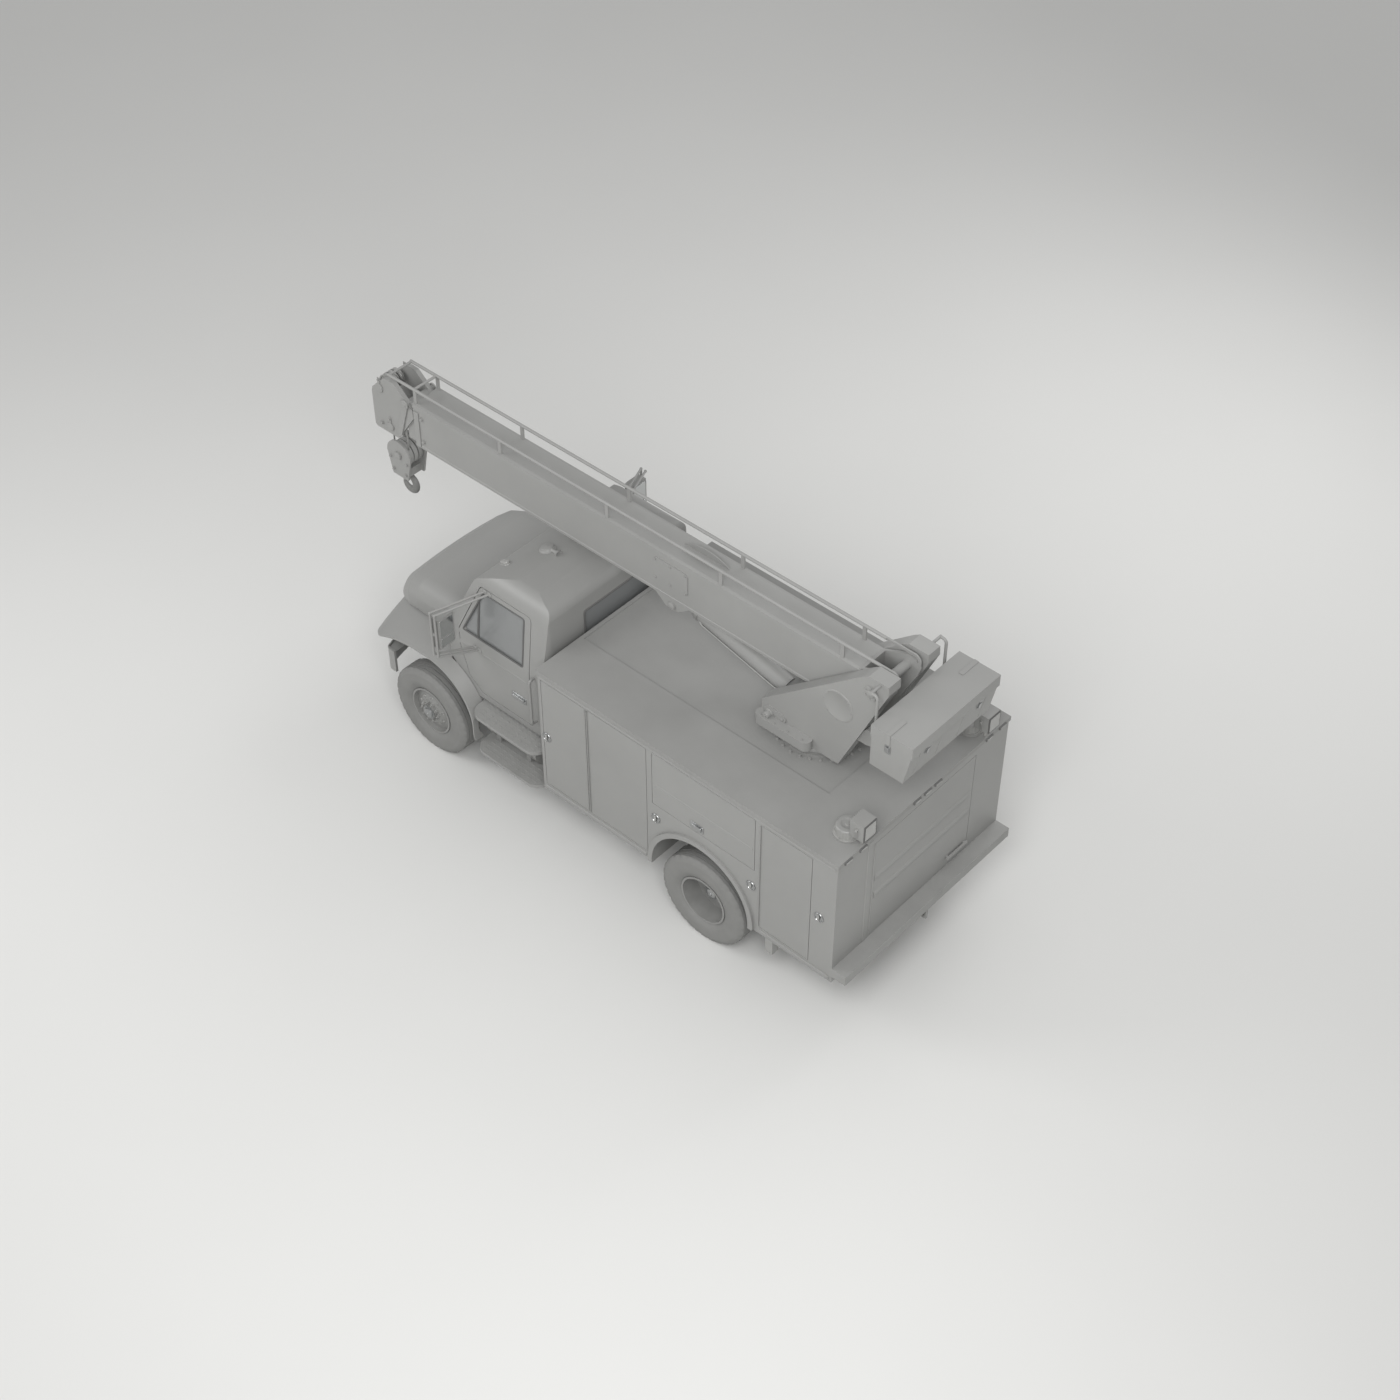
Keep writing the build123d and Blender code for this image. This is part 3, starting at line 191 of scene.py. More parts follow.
# Woven seat cloth: plain weave, 1.2 mm yarn drawn at 6 mm to show
tree, where, relief = coat(
    "seat_fabric", "656564", "545453", 0.88, drift_mm=120, relief_mm=0.8, sockets={"Sheen Weight": 0.3}
)
yarn = axis_wave / 0.006
warp = add_node(tree, "ShaderNodeTexWave", {"Scale": yarn, "bands_direction": "Y"}, {"Vector": where})
weft = add_node(tree, "ShaderNodeTexWave", {"Scale": yarn, "bands_direction": "X"}, {"Vector": where})
weave = add_node(tree, "ShaderNodeMath", {"operation": "MAXIMUM"}, {})
tree.links.new(warp.outputs["Fac"], weave.inputs[0])
tree.links.new(weft.outputs["Fac"], weave.inputs[1])
tree.links.new(weave.outputs["Value"], relief.inputs["Height"])

# Tinted safety glass under a film of dust: grey, part clear, smooth
coat(
    "window_glass", "9b9d9d", "939595", 0.14, drift_mm=600, grain_mm=60.0, relief_mm=0.0,
    sockets={"Transmission Weight": 0.30, "IOR": 1.52},
)
# Lamp lenses: moulded polycarbonate with 8 mm prism ribs
tree, where, relief = coat(
    "lamp_lens", "b9b9b6", "adadaa", 0.16, drift_mm=200, relief_mm=0.8,
    sockets={"Transmission Weight": 0.25, "IOR": 1.58},
)
ribs = add_node(
    tree, "ShaderNodeTexWave", {"Scale": axis_wave / 0.008, "bands_direction": "Y"}, {"Vector": where}
)
tree.links.new(ribs.outputs["Fac"], relief.inputs["Height"])

node_finishes = {
    "body_paint": [
        "cab_shell", "hood", "fenders", "front_bumper", "grille", "cab_door_left", "cab_door_right",
        "body_left", "body_right", "rear_wall", "rear_door", "tool_box", "tool_box_lid", "grab_handles",
    ] + [f"door_{door}_{name}" for door in "abcd" for side, name in sides],
    "boom_paint": ["turret", "boom_base", "boom_extension", "lift_barrel", "hook_block"],
    "chassis_paint": ["chassis_frame", "front_axle", "rear_axle", "powertrain", "bed_floor"],
    "deck_plate": ["deck"],
    "tread_plate": ["rear_bumper"],
    "tyre_rubber": [f"tyre_{axle}_{name}" for axle in ("front", "rear") for side, name in sides],
    "wheel_steel": [f"wheel_{axle}_{name}" for axle in ("front", "rear") for side, name in sides],
    "machined_steel": ["slew_ring", "head_sheaves", "lift_stage", "stabilizer_left", "stabilizer_right"],
    "plated_rod": ["lift_rod"],
    "cast_metal": ["knuckle_left", "knuckle_right", "hook"],
    "tank_alloy": ["step_tanks"],
    "window_glass": ["cab_glass", "door_glass_left", "door_glass_right"],
    "lamp_lens": ["front_lamps", "body_lamps"],
    "cab_plastic": ["cab_interior"],
    "seat_fabric": ["seats"],
}
for finish, names in node_finishes.items():
    for name in names:
        nodes[name].data.materials.clear()
        nodes[name].data.materials.append(finishes[finish])


def refinish(name, finish, inside):
    """Give a second finish to the faces of a CAD node whose middles pass a test."""
    mesh = nodes[name].data
    mesh.materials.append(finishes[finish])
    for polygon in mesh.polygons:
        if inside(polygon.center):
            polygon.material_index = len(mesh.materials) - 1


# Lamp housings and beacon feet, rope falls over the block, step plates beside the tanks, marker housings
refinish(
    "body_lamps", "body_paint",
    lambda spot: spot.z > deck_z + 0.11 or spot.z < deck_z + 0.021 and spot.x > rear_x,
)
refinish("hook_block", "machined_steel", lambda spot: spot.z > 2.69)
refinish("step_tanks", "tread_plate", lambda spot: abs(spot.y) > 0.97)
refinish("body_lamps", "cab_plastic", lambda spot: spot.x < rear_x - 0.0125 and spot.z < deck_z)


def piece(name, shape, finish, body, edge=0.0, smooth=40):
    """Turn a bmesh into a piece that rides on a body, with its edges eased."""
    bmesh.ops.recalc_face_normals(shape, faces=shape.faces)
    mesh = bpy.data.meshes.new(name)
    shape.to_mesh(mesh)
    shape.free()
    mesh.materials.append(finishes[finish])
    mesh.shade_smooth()
    mesh.set_sharp_from_angle(angle=math.radians(smooth))
    made = bpy.data.objects.new(name, mesh)
    scene.collection.objects.link(made)
    if edge:
        ease = made.modifiers.new("eased_edges", "BEVEL")
        ease.width, ease.segments, ease.limit_method = edge, 2, "ANGLE"
    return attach(made, body)


def bar(name, points, radius, finish, body, closed=False):
    """A bent round bar or moulding along a smooth line."""
    curve = bpy.data.curves.new(name, "CURVE")
    curve.dimensions = "3D"
    curve.bevel_depth, curve.bevel_resolution, curve.use_fill_caps = radius, 3, True
    line = curve.splines.new("NURBS")
    line.points.add(len(points) - 1)
    for spot, point in zip(line.points, points):
        spot.co = (*point, 1)
    line.order_u = 3
    line.use_endpoint_u = not closed
    line.use_cyclic_u = closed
    line.resolution_u = 6
    curve.materials.append(finishes[finish])
    made = bpy.data.objects.new(name, curve)
    scene.collection.objects.link(made)
    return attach(made, body)


def face(origin, out, up=Z):
    """Matrix of a surface: local x runs along it, y up it and z out of it."""
    out = Vector(out).normalized()
    along = Vector(up).cross(out).normalized()
    turn = Matrix((along, out.cross(along), out)).transposed().to_4x4()
    return Matrix.Translation(origin) @ turn


def flank(side, x, y, z):
    """Surface that faces out on one side of the truck."""
    return face((x, side * y, z), (0, side, 0))


def landed(node, start, towards, up=Z):
    """Surface of a CAD node where a straight line from start meets it."""
    spot, normal = nodes[node].ray_cast(Vector(start), Vector(towards).normalized())[1:3]
    return face(spot, normal, up)


def rounded(width, height, radius, middle=(0, 0)):
    """Outline of a rounded rectangle as (along, up) points."""
    points = []
    for corner, (u, v) in enumerate(((1, 1), (-1, 1), (-1, -1), (1, -1))):
        for step in range(5):
            angle = math.radians(90 * corner + 22.5 * step)
            points.append((
                middle[0] + u * (width / 2 - radius) + radius * math.cos(angle),
                middle[1] + v * (height / 2 - radius) + radius * math.sin(angle),
            ))
    return points


def plate(shape, surface, outline, depth, lift=0.0):
    """Raise an outline out of a surface, in the shape being made."""
    low = [shape.verts.new(surface @ Vector((u, v, lift))) for u, v in outline]
    high = [shape.verts.new(surface @ Vector((u, v, lift + depth))) for u, v in outline]
    shape.faces.new(low[::-1])
    shape.faces.new(high)
    for i in range(len(outline)):
        j = (i + 1) % len(outline)
        shape.faces.new((low[i], low[j], high[j], high[i]))


def strip(shape, start, end, outline, up=Z):
    """Run a cross section from start to end, in the shape being made."""
    run = Vector(end) - Vector(start)
    plate(shape, face(start, run, up), outline, run.length)


def turned(shape, surface, profile, count=32):
    """Turn a profile of (radius, out) points about a surface's outward line, in the shape being made."""
    rings = []
    for radius, out in profile:
        steps = count if radius > 0 else 1
        angles = [2 * math.pi * k / steps for k in range(steps)]
        spots = [Vector((radius * math.cos(a), radius * math.sin(a), out)) for a in angles]
        rings.append([shape.verts.new(surface @ spot) for spot in spots])
    for ring, after in zip(rings, rings[1:]):
        for k in range(count):
            j = (k + 1) % count
            corners = [ring[k % len(ring)], ring[j % len(ring)], after[j % len(after)], after[k % len(after)]]
            shape.faces.new(list(dict.fromkeys(corners)))


def bolt(shape, surface, across=0.024):
    """Washer and chamfered hexagon head standing on a surface, in the shape being made."""
    radius = across / 2 / math.cos(math.pi / 6)
    turned(shape, surface, ((0, 0), (1.3 * radius, 0), (1.3 * radius, 0.12 * across), (0, 0.12 * across)), 20)
    turned(
        shape, surface,
        ((0, 0.12 * across), (radius, 0.12 * across), (radius, 0.62 * across), (0.85 * radius, 0.75 * across),
         (0, 0.75 * across)), 6,
    )


def plates(name, surface, layers, finish, body, edge=0.0):
    """Plates of (outline, depth, lift) on a surface as one piece."""
    shape = bmesh.new()
    for outline, depth, lift in layers:
        plate(shape, surface, outline, depth, lift)
    return piece(name, shape, finish, body, edge)


def round_piece(name, surface, profile, finish, body, count=32):
    """A turned profile on a surface as one piece."""
    shape = bmesh.new()
    turned(shape, surface, profile, count)
    return piece(name, shape, finish, body)


def run_piece(name, start, end, outline, finish, body, edge=0.0, up=Z):
    """A cross section run from start to end as one piece."""
    shape = bmesh.new()
    strip(shape, start, end, outline, up)
    return piece(name, shape, finish, body, edge)


def ring_spots(surface, radius, count, lift=0.0, start=0.0):
    """Surfaces spaced evenly on a circle."""
    for k in range(count):
        angle = start + 2 * math.pi * k / count
        yield surface @ Matrix.Translation((radius * math.cos(angle), radius * math.sin(angle), lift))


def bolts(name, surfaces, across, body, finish="boom_paint"):
    """A set of bolts as one piece."""
    shape = bmesh.new()
    for surface in surfaces:
        bolt(shape, surface, across)
    return piece(name, shape, finish, body)


def hinge_knuckles(name, start, end, radius, finish, body, pitch=0.06):
    """Piano hinge: a row of rolled knuckles along a line."""
    shape = bmesh.new()
    run = Vector(end) - Vector(start)
    count = max(int(run.length / pitch), 1)
    length = run.length / count
    side_up = Y if abs(run.normalized().y) < 0.9 else Z
    for k in range(count):
        surface = face(Vector(start) + run * (k / count), run, side_up)
        turned(
            shape, surface,
            ((0, 0), (radius - 0.001, 0), (radius, 0.001), (radius, length - 0.003),
             (radius - 0.001, length - 0.002), (0, length - 0.002)), 12,
        )
    return piece(name, shape, finish, body)


# Tyres: tread grooves, shoulder lugs and sidewall ribs
tyre_section = (
    # along, radius, share of the lug cut
    (-0.085, 0.262, 0), (-0.096, 0.276, 0), (-0.112, 0.305, 0), (-0.119, 0.322, 0), (-0.121, 0.326, 0),
    (-0.1245, 0.360, 0), (-0.1268, 0.385, 0), (-0.1262, 0.415, 0), (-0.1235, 0.438, 0), (-0.1245, 0.443, 0),
    (-0.1215, 0.458, 0), (-0.113, 0.482, 1), (-0.107, 0.494, 1), (-0.090, 0.5098, 1), (-0.058, 0.5098, 0),
    (-0.056, 0.498, 0), (-0.048, 0.498, 0), (-0.046, 0.5098, 0), (-0.006, 0.5098, 0), (-0.004, 0.498, 0),
)


def tyre(shape, middle, side):
    """One tyre round its middle point, in the shape being made."""
    count = 132
    section = list(tyre_section) + [(-along, radius, cut) for along, radius, cut in reversed(tyre_section)]
    rings = []
    for k in range(count):
        angle = 2 * math.pi * k / count
        groove = 0.011 if k % 4 == 0 else 0.0
        ring = []
        for along, radius, cut in section:
            reach = radius - groove * cut
            ring.append(shape.verts.new(
                Vector(middle) + Vector((reach * math.cos(angle), side * along, reach * math.sin(angle)))
            ))
        rings.append(ring)
    for k in range(count):
        ring, after = rings[k], rings[(k + 1) % count]
        for i in range(len(section)):
            j = (i + 1) % len(section)
            shape.faces.new((ring[i], ring[j], after[j], after[i]))


wheel_sets = (
    # axle, wheel's middle, tyre offsets from it, nut circle, nut face, hub face
    ("front", 1.035, (0.0,), 0.113, 0.098, 0.124),
    ("rear", 0.922, (-0.150, 0.150), 0.135, 0.028, 0.120),
)
for axle, middle_y, offsets, nut_circle, nut_face, hub_face in wheel_sets:
    for side, name in sides:
        body = f"{axle}_wheel_{name}"
        low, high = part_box(f"wheel_{axle}_{name}")
        hub_x, hub_z = (low.x + high.x) / 2, (low.z + high.z) / 2
        hub_y = side * middle_y
        shape = bmesh.new()
        for offset in offsets:
            tyre(shape, (hub_x, hub_y + side * offset, hub_z), side)
        cover = piece(f"tyre_cover_{axle}_{name}", shape, "tyre_rubber", body, smooth=28)
        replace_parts(cover, f"tyre_{axle}_{name}")
        out = face((hub_x, hub_y, hub_z), (0, side, 0))
        shape = bmesh.new()
        for surface in ring_spots(out, nut_circle, 10, nut_face):
            bolt(shape, surface, 0.030)
            turned(shape, surface, ((0.008, 0.02), (0.008, 0.036), (0.006, 0.038), (0, 0.038)), 12)
        piece(f"wheel_nuts_{axle}_{name}", shape, "machined_steel", body)
        shape = bmesh.new()
        turned(
            shape, out @ Matrix.Translation((0, 0, hub_face)),
            ((0, 0), (0.078, 0), (0.078, 0.006), (0.060, 0.008), (0.056, 0.022), (0.044, 0.028),
             (0.020, 0.030), (0.018, 0.034), (0, 0.034)),
        )
        for surface in ring_spots(out, 0.069, 8, hub_face + 0.005, 0.2):
            bolt(shape, surface, 0.011)
        piece(f"hub_cap_{axle}_{name}", shape, "bright_trim", body)
        shape = bmesh.new()
        hole_r, hole_out, hole_tilt = (0.165, 0.0815, 0.9) if axle == "front" else (0.150, 0.028, 0.0)
        for k in range(10):
            angle = 2 * math.pi * (k + 0.5) / 10
            radial = Vector((math.cos(angle), 0, math.sin(angle)))
            lean = (Vector((0, side, 0)) + hole_tilt * radial).normalized()
            spot = Vector((hub_x, hub_y + side * hole_out, hub_z)) + hole_r * radial
            turned(
                shape, face(spot, lean, radial),
                ((0.017, -0.004), (0.0185, 0.002), (0.0165, 0.0035), (0.014, 0.001), (0.012, -0.004)), 20,
            )
        rim_finish = "seal_rubber" if axle == "rear" else "machined_steel"
        piece(f"hand_hole_rims_{axle}_{name}", shape, rim_finish, body)
        if axle == "rear":
            round_piece(
                f"valve_stem_{name}", flank(side, hub_x, middle_y + 0.030, hub_z + 0.185),
                ((0.007, 0), (0.007, 0.03), (0.005, 0.032), (0.005, 0.08), (0, 0.08)),
                "bright_trim", body, 12,
            )

# Service body: latches, hinges, drip rail, rub rails, pressed beads and door seals
latch_places = (
    # station, height, body
    (3.547, 1.410, "door_a"), (2.137, 1.298, "truck"), (0.969, 1.253, "truck"), (0.178, 1.434, "truck"),
)
hinge_places = (
    # station of the post side, low, high
    (3.012, 0.770, 2.130), (2.993, 0.770, 2.130), (0.868, 0.770, 2.120),
)
for side, name in sides:
    for number, (station, height, carrier) in enumerate(latch_places):
        body = carrier if carrier == "truck" else f"{carrier}_{name}"
        surface = flank(side, at(station), side_y, height)
        round_piece(
            f"latch_dish_{number}_{name}", surface,
            ((0, 0), (0.056, 0), (0.056, 0.004), (0.052, 0.009), (0.046, 0.009), (0.042, 0.003), (0, 0.003)),
            "bright_trim", body,
        )
        shape = bmesh.new()
        plate(shape, surface, rounded(0.022, 0.074, 0.009), 0.013, 0.003)
        turned(shape, surface, ((0.015, 0.016), (0.015, 0.020), (0.012, 0.022), (0, 0.022)), 20)
        piece(f"latch_handle_{number}_{name}", shape, "machined_steel", body, edge=0.002)
    plates(
        f"paddle_latch_{name}", flank(side, at(1.625), side_y, 1.548),
        ((rounded(0.165, 0.085, 0.014), 0.006, 0.0), (rounded(0.120, 0.050, 0.010), 0.014, 0.005)),
        "bright_trim", f"door_c_{name}", 0.003,
    )
    barrel_r = 0.006
    barrel_y = side * (side_y + barrel_r)
    for number, (station, low, high) in enumerate(hinge_places):
        hinge_knuckles(
            f"side_hinge_{number}_{name}", (at(station), barrel_y, low), (at(station), barrel_y, high),
            barrel_r, "body_paint", "truck",
        )
    hinge_knuckles(
        f"top_hinge_{name}", (at(0.94), barrel_y, 2.149), (at(2.17), barrel_y, 2.149),
        barrel_r, "body_paint", "truck",
    )
    drip = [(0, 0), (side * 0.011, -0.004), (side * 0.011, 0.004), (side * 0.004, 0.014), (0, 0.014)]
    run_piece(
        f"drip_rail_{name}", (at(0.02), side * side_y, 2.168), (at(3.61), side * side_y, 2.168), drip,
        "body_paint", "truck", 0.001,
    )
    shape = bmesh.new()
    for start, end in ((0.03, 0.86), (2.26, 3.60)):
        rub = [(0, -0.02), (side * 0.010, -0.014), (side * 0.010, 0.014), (0, 0.02)]
        strip(shape, (at(start), side * side_y, 0.712), (at(end), side * side_y, 0.712), rub)
    piece(f"rub_rails_{name}", shape, "body_paint", "truck", edge=0.002)
    bead = [(0, -0.014), (side * 0.003, -0.009), (side * 0.005, 0), (side * 0.003, 0.009), (0, 0.014)]
    run_piece(
        f"door_bead_{name}", (at(0.96), side * side_y, 1.740), (at(2.15), side * side_y, 1.740), bead,
        "body_paint", f"door_c_{name}",
    )
    # Door seals round the compartments, seen in the gaps and when a door is open
    for door, rear, front, low, high in (
        ("a", 3.026, 3.584, 0.766, 2.130), ("b", 2.251, 2.979, 0.766, 2.130),
        ("c", 0.940, 2.170, 1.485, 2.130), ("d", 0.281, 0.854, 0.766, 2.120),
    ):
        spot = side * (side_y - 0.0325)
        corners = [(at(rear), low), (at(front), low), (at(front), high), (at(rear), high)]
        shape = bmesh.new()
        for (x_from, z_from), (x_to, z_to) in zip(corners, corners[1:] + corners[:1]):
            strip(
                shape, (x_from, spot, z_from), (x_to, spot, z_to), rounded(0.007, 0.007, 0.003), (0, side, 0)
            )
        piece(f"door_seal_{door}_{name}", shape, "seal_rubber", f"door_{door}_{name}")

# Rear door: bevelled bands, hinge and the post beside it
shape = bmesh.new()
for height in (1.400, 1.630):
    band = [(0, -0.045), (0.007, -0.030), (0.007, 0.030), (0, 0.045)]
    strip(shape, (rear_x, -0.715, height), (rear_x, 0.675, height), band)
piece("rear_door_bands", shape, "body_paint", "rear_door", edge=0.001)
hinge_y = 0.7047
hinge_knuckles(
    "rear_door_hinge", (rear_x, hinge_y, 0.885), (rear_x, hinge_y, 2.095), 0.007, "body_paint", "rear_door"
)
post = [(-0.036, 0), (0.036, 0), (0.030, -0.006), (-0.030, -0.006)]
run_piece(
    "rear_hinge_post", (rear_x, 0.768, 0.865), (rear_x, 0.768, 2.180), post, "body_paint", "truck", 0.001, X
)

# Rear markers, beacons and work lamps
shape = bmesh.new()
marker_rows = [side * (side_y - inward) for inward in (0.120, 0.320, side_y - 0.150) for side, name in sides]
for y in marker_rows + [0]:
    surface = face((rear_x - 0.026, y, deck_z - 0.026), (-1, 0, 0))
    plate(shape, surface, rounded(0.084, 0.018, 0.008), 0.006)
piece("marker_lenses", shape, "lamp_lens", "truck", edge=0.003)
for side, name in sides:
    beacon = Vector((at(0.185), side * 0.870, deck_z))
    top = face(beacon + 0.105 * Z, (0, 0, 1), X)
    round_piece(
        f"beacon_top_{name}", top,
        ((0, 0), (0.108, 0), (0.109, 0.004), (0.100, 0.013), (0.066, 0.016), (0.060, 0.011), (0.030, 0.011),
         (0.024, 0.020), (0, 0.021)), "body_paint", "truck", 40,
    )
    shape = bmesh.new()
    for k in range(24):
        angle = 2 * math.pi * k / 24
        foot = beacon + Vector((0.110 * math.cos(angle), 0.110 * math.sin(angle), 0.024))
        turned(shape, face(foot, (0, 0, 1), X), ((0.004, 0), (0.004, 0.076), (0, 0.078)), 8)
    piece(f"beacon_flutes_{name}", shape, "lamp_lens", "truck")
    flange = face(beacon + 0.022 * Z, (0, 0, 1), X)
    bolts(f"beacon_bolts_{name}", ring_spots(flange, 0.121, 6), 0.010, "truck")
    glass = face((at(-0.055), side * 0.880, deck_z + 0.215), (-1, 0, 0))
    bezel, lens = (rounded(0.168, 0.188, 0.012), 0.008, 0.0), (rounded(0.140, 0.158, 0.010), 0.005, 0.008)
    plates(f"work_lamp_bezel_{name}", glass, (bezel,), "seal_rubber", "truck", 0.002)
    plates(f"work_lamp_lens_{name}", glass, (lens,), "lamp_lens", "truck", 0.004)
    shape = bmesh.new()
    for k in range(7):
        fin = face((at(0.095), side * 0.880 - 0.066 + 0.022 * k, deck_z + 0.215), (1, 0, 0))
        plate(shape, fin, rounded(0.006, 0.165, 0.002), 0.014)
    for end in (-1, 1):
        cheek = face((at(0.020), side * 0.880 + end * 0.085, deck_z + 0.190), (0, end, 0))
        plate(shape, cheek, rounded(0.030, 0.130, 0.012), 0.006)
        knob = cheek @ Matrix.Translation((0, 0.035, 0.006))
        turned(shape, knob, ((0.016, 0), (0.016, 0.012), (0.012, 0.015), (0, 0.015)), 12)
    piece(f"work_lamp_yoke_{name}", shape, "machined_steel", "truck", edge=0.001)

# Tool box: catches, keepers, lid straps and ribs
slope = Vector((-0.981, 0, -0.193))
lid_low, lid_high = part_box("tool_box_lid")
for number, y in enumerate((-0.36, 0.36)):
    catch = face((at(-0.2074), y, 3.160), slope)
    plates(
        f"box_catch_{number}", catch,
        ((rounded(0.060, 0.080, 0.006), 0.005, 0.0), (rounded(0.036, 0.070, 0.006), 0.010, 0.005)),
        "bright_trim", "turret", 0.001,
    )
    keeper = face((lid_low.x + 0.008, y, 3.221), (-1, 0, 0))
    plates(
        f"lid_keeper_{number}", keeper, ((rounded(0.050, 0.018, 0.004), 0.008, 0.0),),
        "bright_trim", "tool_box_lid", 0.001,
    )
strap_x = at(0.026)
for side, name in sides:
    # Strap over each end of the lid, down to a buckle on the box
    shape = bmesh.new()
    top = face((strap_x, side * (lid_high.y - 0.11), lid_high.z), (0, 0, 1), X)
    plate(shape, top, rounded(0.226, 0.050, 0.008), 0.006)
    down = flank(side, strap_x, lid_high.y, lid_high.z - 0.060)
    plate(shape, down, rounded(0.050, 0.120, 0.004), 0.006)
    piece(f"lid_strap_{name}", shape, "body_paint", "tool_box_lid", edge=0.002)
    plates(
        f"strap_buckle_{name}", flank(side, strap_x, 0.600, 3.180),
        ((rounded(0.060, 0.090, 0.010), 0.008, 0.0), (rounded(0.040, 0.060, 0.008), 0.008, 0.008)),
        "bright_trim", "turret", 0.002,
    )
shape = bmesh.new()
for y in (-0.45, -0.15, 0.15, 0.45):
    rib = face((at(-0.154), y, 2.900), slope)
    plate(shape, rib, rounded(0.030, 0.290, 0.010, (0, 0.16)), 0.005)
piece("box_ribs", shape, "body_paint", "turret", edge=0.002)

# Slew ring bolts on the deck panel, and the turret's fixings
swing_x, base_top = at(1.200), 2.3303
cheek_y, pin_end_y = 0.350, 0.365
lift_base_x, lift_base_z = at(1.520), 2.455
lift_eye_x, lift_eye_z = at(2.880), 2.796
swing = face((swing_x, 0, deck_z - 0.020), (0, 0, 1), X)
bolts("slew_ring_bolts", ring_spots(swing, 0.440, 28), 0.026, "truck", "deck_plate")
base_plate = face((swing_x, 0, base_top), (0, 0, 1), X)
plate_spots = [
    base_plate @ Matrix.Translation((0.375 * math.cos(a), 0.375 * math.sin(a), 0))
    for a in map(math.radians, (-22, -11, 0, 11, 22, 158, 169, 180, 191, 202))
]
bolts("base_plate_bolts", plate_spots, 0.026, "turret")
for side, name in sides:
    cover_spots = [
        face((at(1.330 + along), side * (0.385 + out), 2.4353), (0, 0, 1), X)
        for along, out in ((-0.24, 0.035), (-0.08, 0.045), (0.08, 0.045), (0.24, 0.035))
    ]
    bolts(f"swing_cover_bolts_{name}", cover_spots, 0.014, "turret")
    pivot = flank(side, at(0.420), pin_end_y, 3.400)
    shape = bmesh.new()
    turned(shape, pivot, ((0, 0), (0.040, 0), (0.040, 0.006), (0.034, 0.010), (0, 0.010)), 28)
    for surface in ring_spots(pivot, 0.060, 6, -0.003, math.pi / 6):
        bolt(shape, surface, 0.014)
    piece(f"pivot_cap_{name}", shape, "boom_paint", "turret")
    lift = flank(side, lift_base_x, pin_end_y, lift_base_z)
    shape = bmesh.new()
    turned(
        shape, lift,
        ((0, -0.004), (0.044, -0.004), (0.044, 0.006), (0.034, 0.012), (0.034, 0.054), (0.030, 0.060),
         (0.009, 0.060), (0.007, 0.068), (0, 0.069)), 28,
    )
    bolt(shape, flank(side, at(1.370), 0.362, 2.465), 0.022)
    piece(f"lift_pin_cap_{name}", shape, "boom_paint", "turret")
    # Round cover plate let into the cheek
    shape = bmesh.new()
    hatch = flank(side, at(0.764), cheek_y, 3.022)
    turned(
        shape, hatch,
        ((0, 0), (0.170, 0), (0.168, 0.003), (0.160, 0.005), (0.150, 0.005), (0.146, 0.003), (0, 0.003)), 56,
    )
    for surface in ring_spots(hatch, 0.155, 8, 0.004):
        bolt(shape, surface, 0.010)
    piece(f"cheek_hatch_{name}", shape, "boom_paint", "turret")
    # Weld beads where the cheeks stand on the base plate
    weld = [(0, 0), (side * -0.012, 0), (side * -0.005, 0.005), (0, 0.012)]
    run_piece(
        f"cheek_weld_{name}", (at(0.86), side * 0.190, base_top), (at(1.54), side * 0.190, base_top), weld,
        "boom_paint", "turret",
    )

# Boom: access plate screws, seams, wear pad adjusters and front collar
for side, name in sides:
    wall = side * boom_y
    access = flank(side, at(2.890), 0.178, 3.150)
    spots = [access @ Matrix.Translation((u, v, 0)) for u in (-0.185, 0, 0.185) for v in (-0.105, 0.105)]
    bolts(f"access_plate_bolts_{name}", spots, 0.018, "boom")
    seam = [(0, -0.007), (side * 0.004, -0.003), (side * 0.004, 0.003), (0, 0.007)]
    run_piece(
        f"boom_seam_{name}", (at(0.72), wall, 2.890), (boom_tip_x - 0.08, wall, 2.890), seam,
        "boom_paint", "boom",
    )
    plates(
        f"boom_collar_{name}", face((boom_tip_x - 0.040, wall, 3.085), (0, side, 0)),
        ((rounded(0.070, 0.420, 0.006), 0.010, 0.0),), "boom_paint", "boom", 0.002,
    )
    pads = [face((boom_tip_x - 0.115, wall, z), (0, side, 0)) for z in (2.960, 3.240)]
    bolts(f"pad_adjusters_{name}", pads, 0.032, "boom")
    round_piece(
        f"lift_eye_cap_{name}", flank(side, lift_eye_x, 0.182, lift_eye_z),
        ((0, 0), (0.038, 0), (0.038, 0.005), (0.032, 0.008), (0, 0.008)), "boom_paint", "boom", 24,
    )

# Boom head and hook block: grooved sheaves, pin caps and braces
hang_x = boom_tip_x + 0.370
head_pins = (
    # x, height, cap radius
    (boom_tip_x + 0.480, 3.330, 0.052), (hang_x, 2.905, 0.046),
)
half_groove = (
    (0.041, -0.022), (0.062, -0.022), (0.064, -0.014), (0.074, -0.014), (0.080, -0.022), (0.095, -0.022),
    (0.095, -0.017), (0.080, -0.009),
)
mirrored = tuple((radius, -out) for radius, out in half_groove[::-1])
groove = half_groove + ((0.077, 0),) + mirrored + half_groove[:1]
washer = ((0.041, 0), (0.058, 0), (0.058, 0.006), (0.041, 0.006), (0.041, 0))
shape = bmesh.new()
for x, z, radius in head_pins:
    for y in (-0.062, 0.0, 0.062):
        turned(shape, face((x, y, z), (0, 1, 0)), groove, 48)
    for y in (-0.090, -0.040, 0.022, 0.084):
        turned(shape, face((x, y, z), (0, 1, 0)), washer)
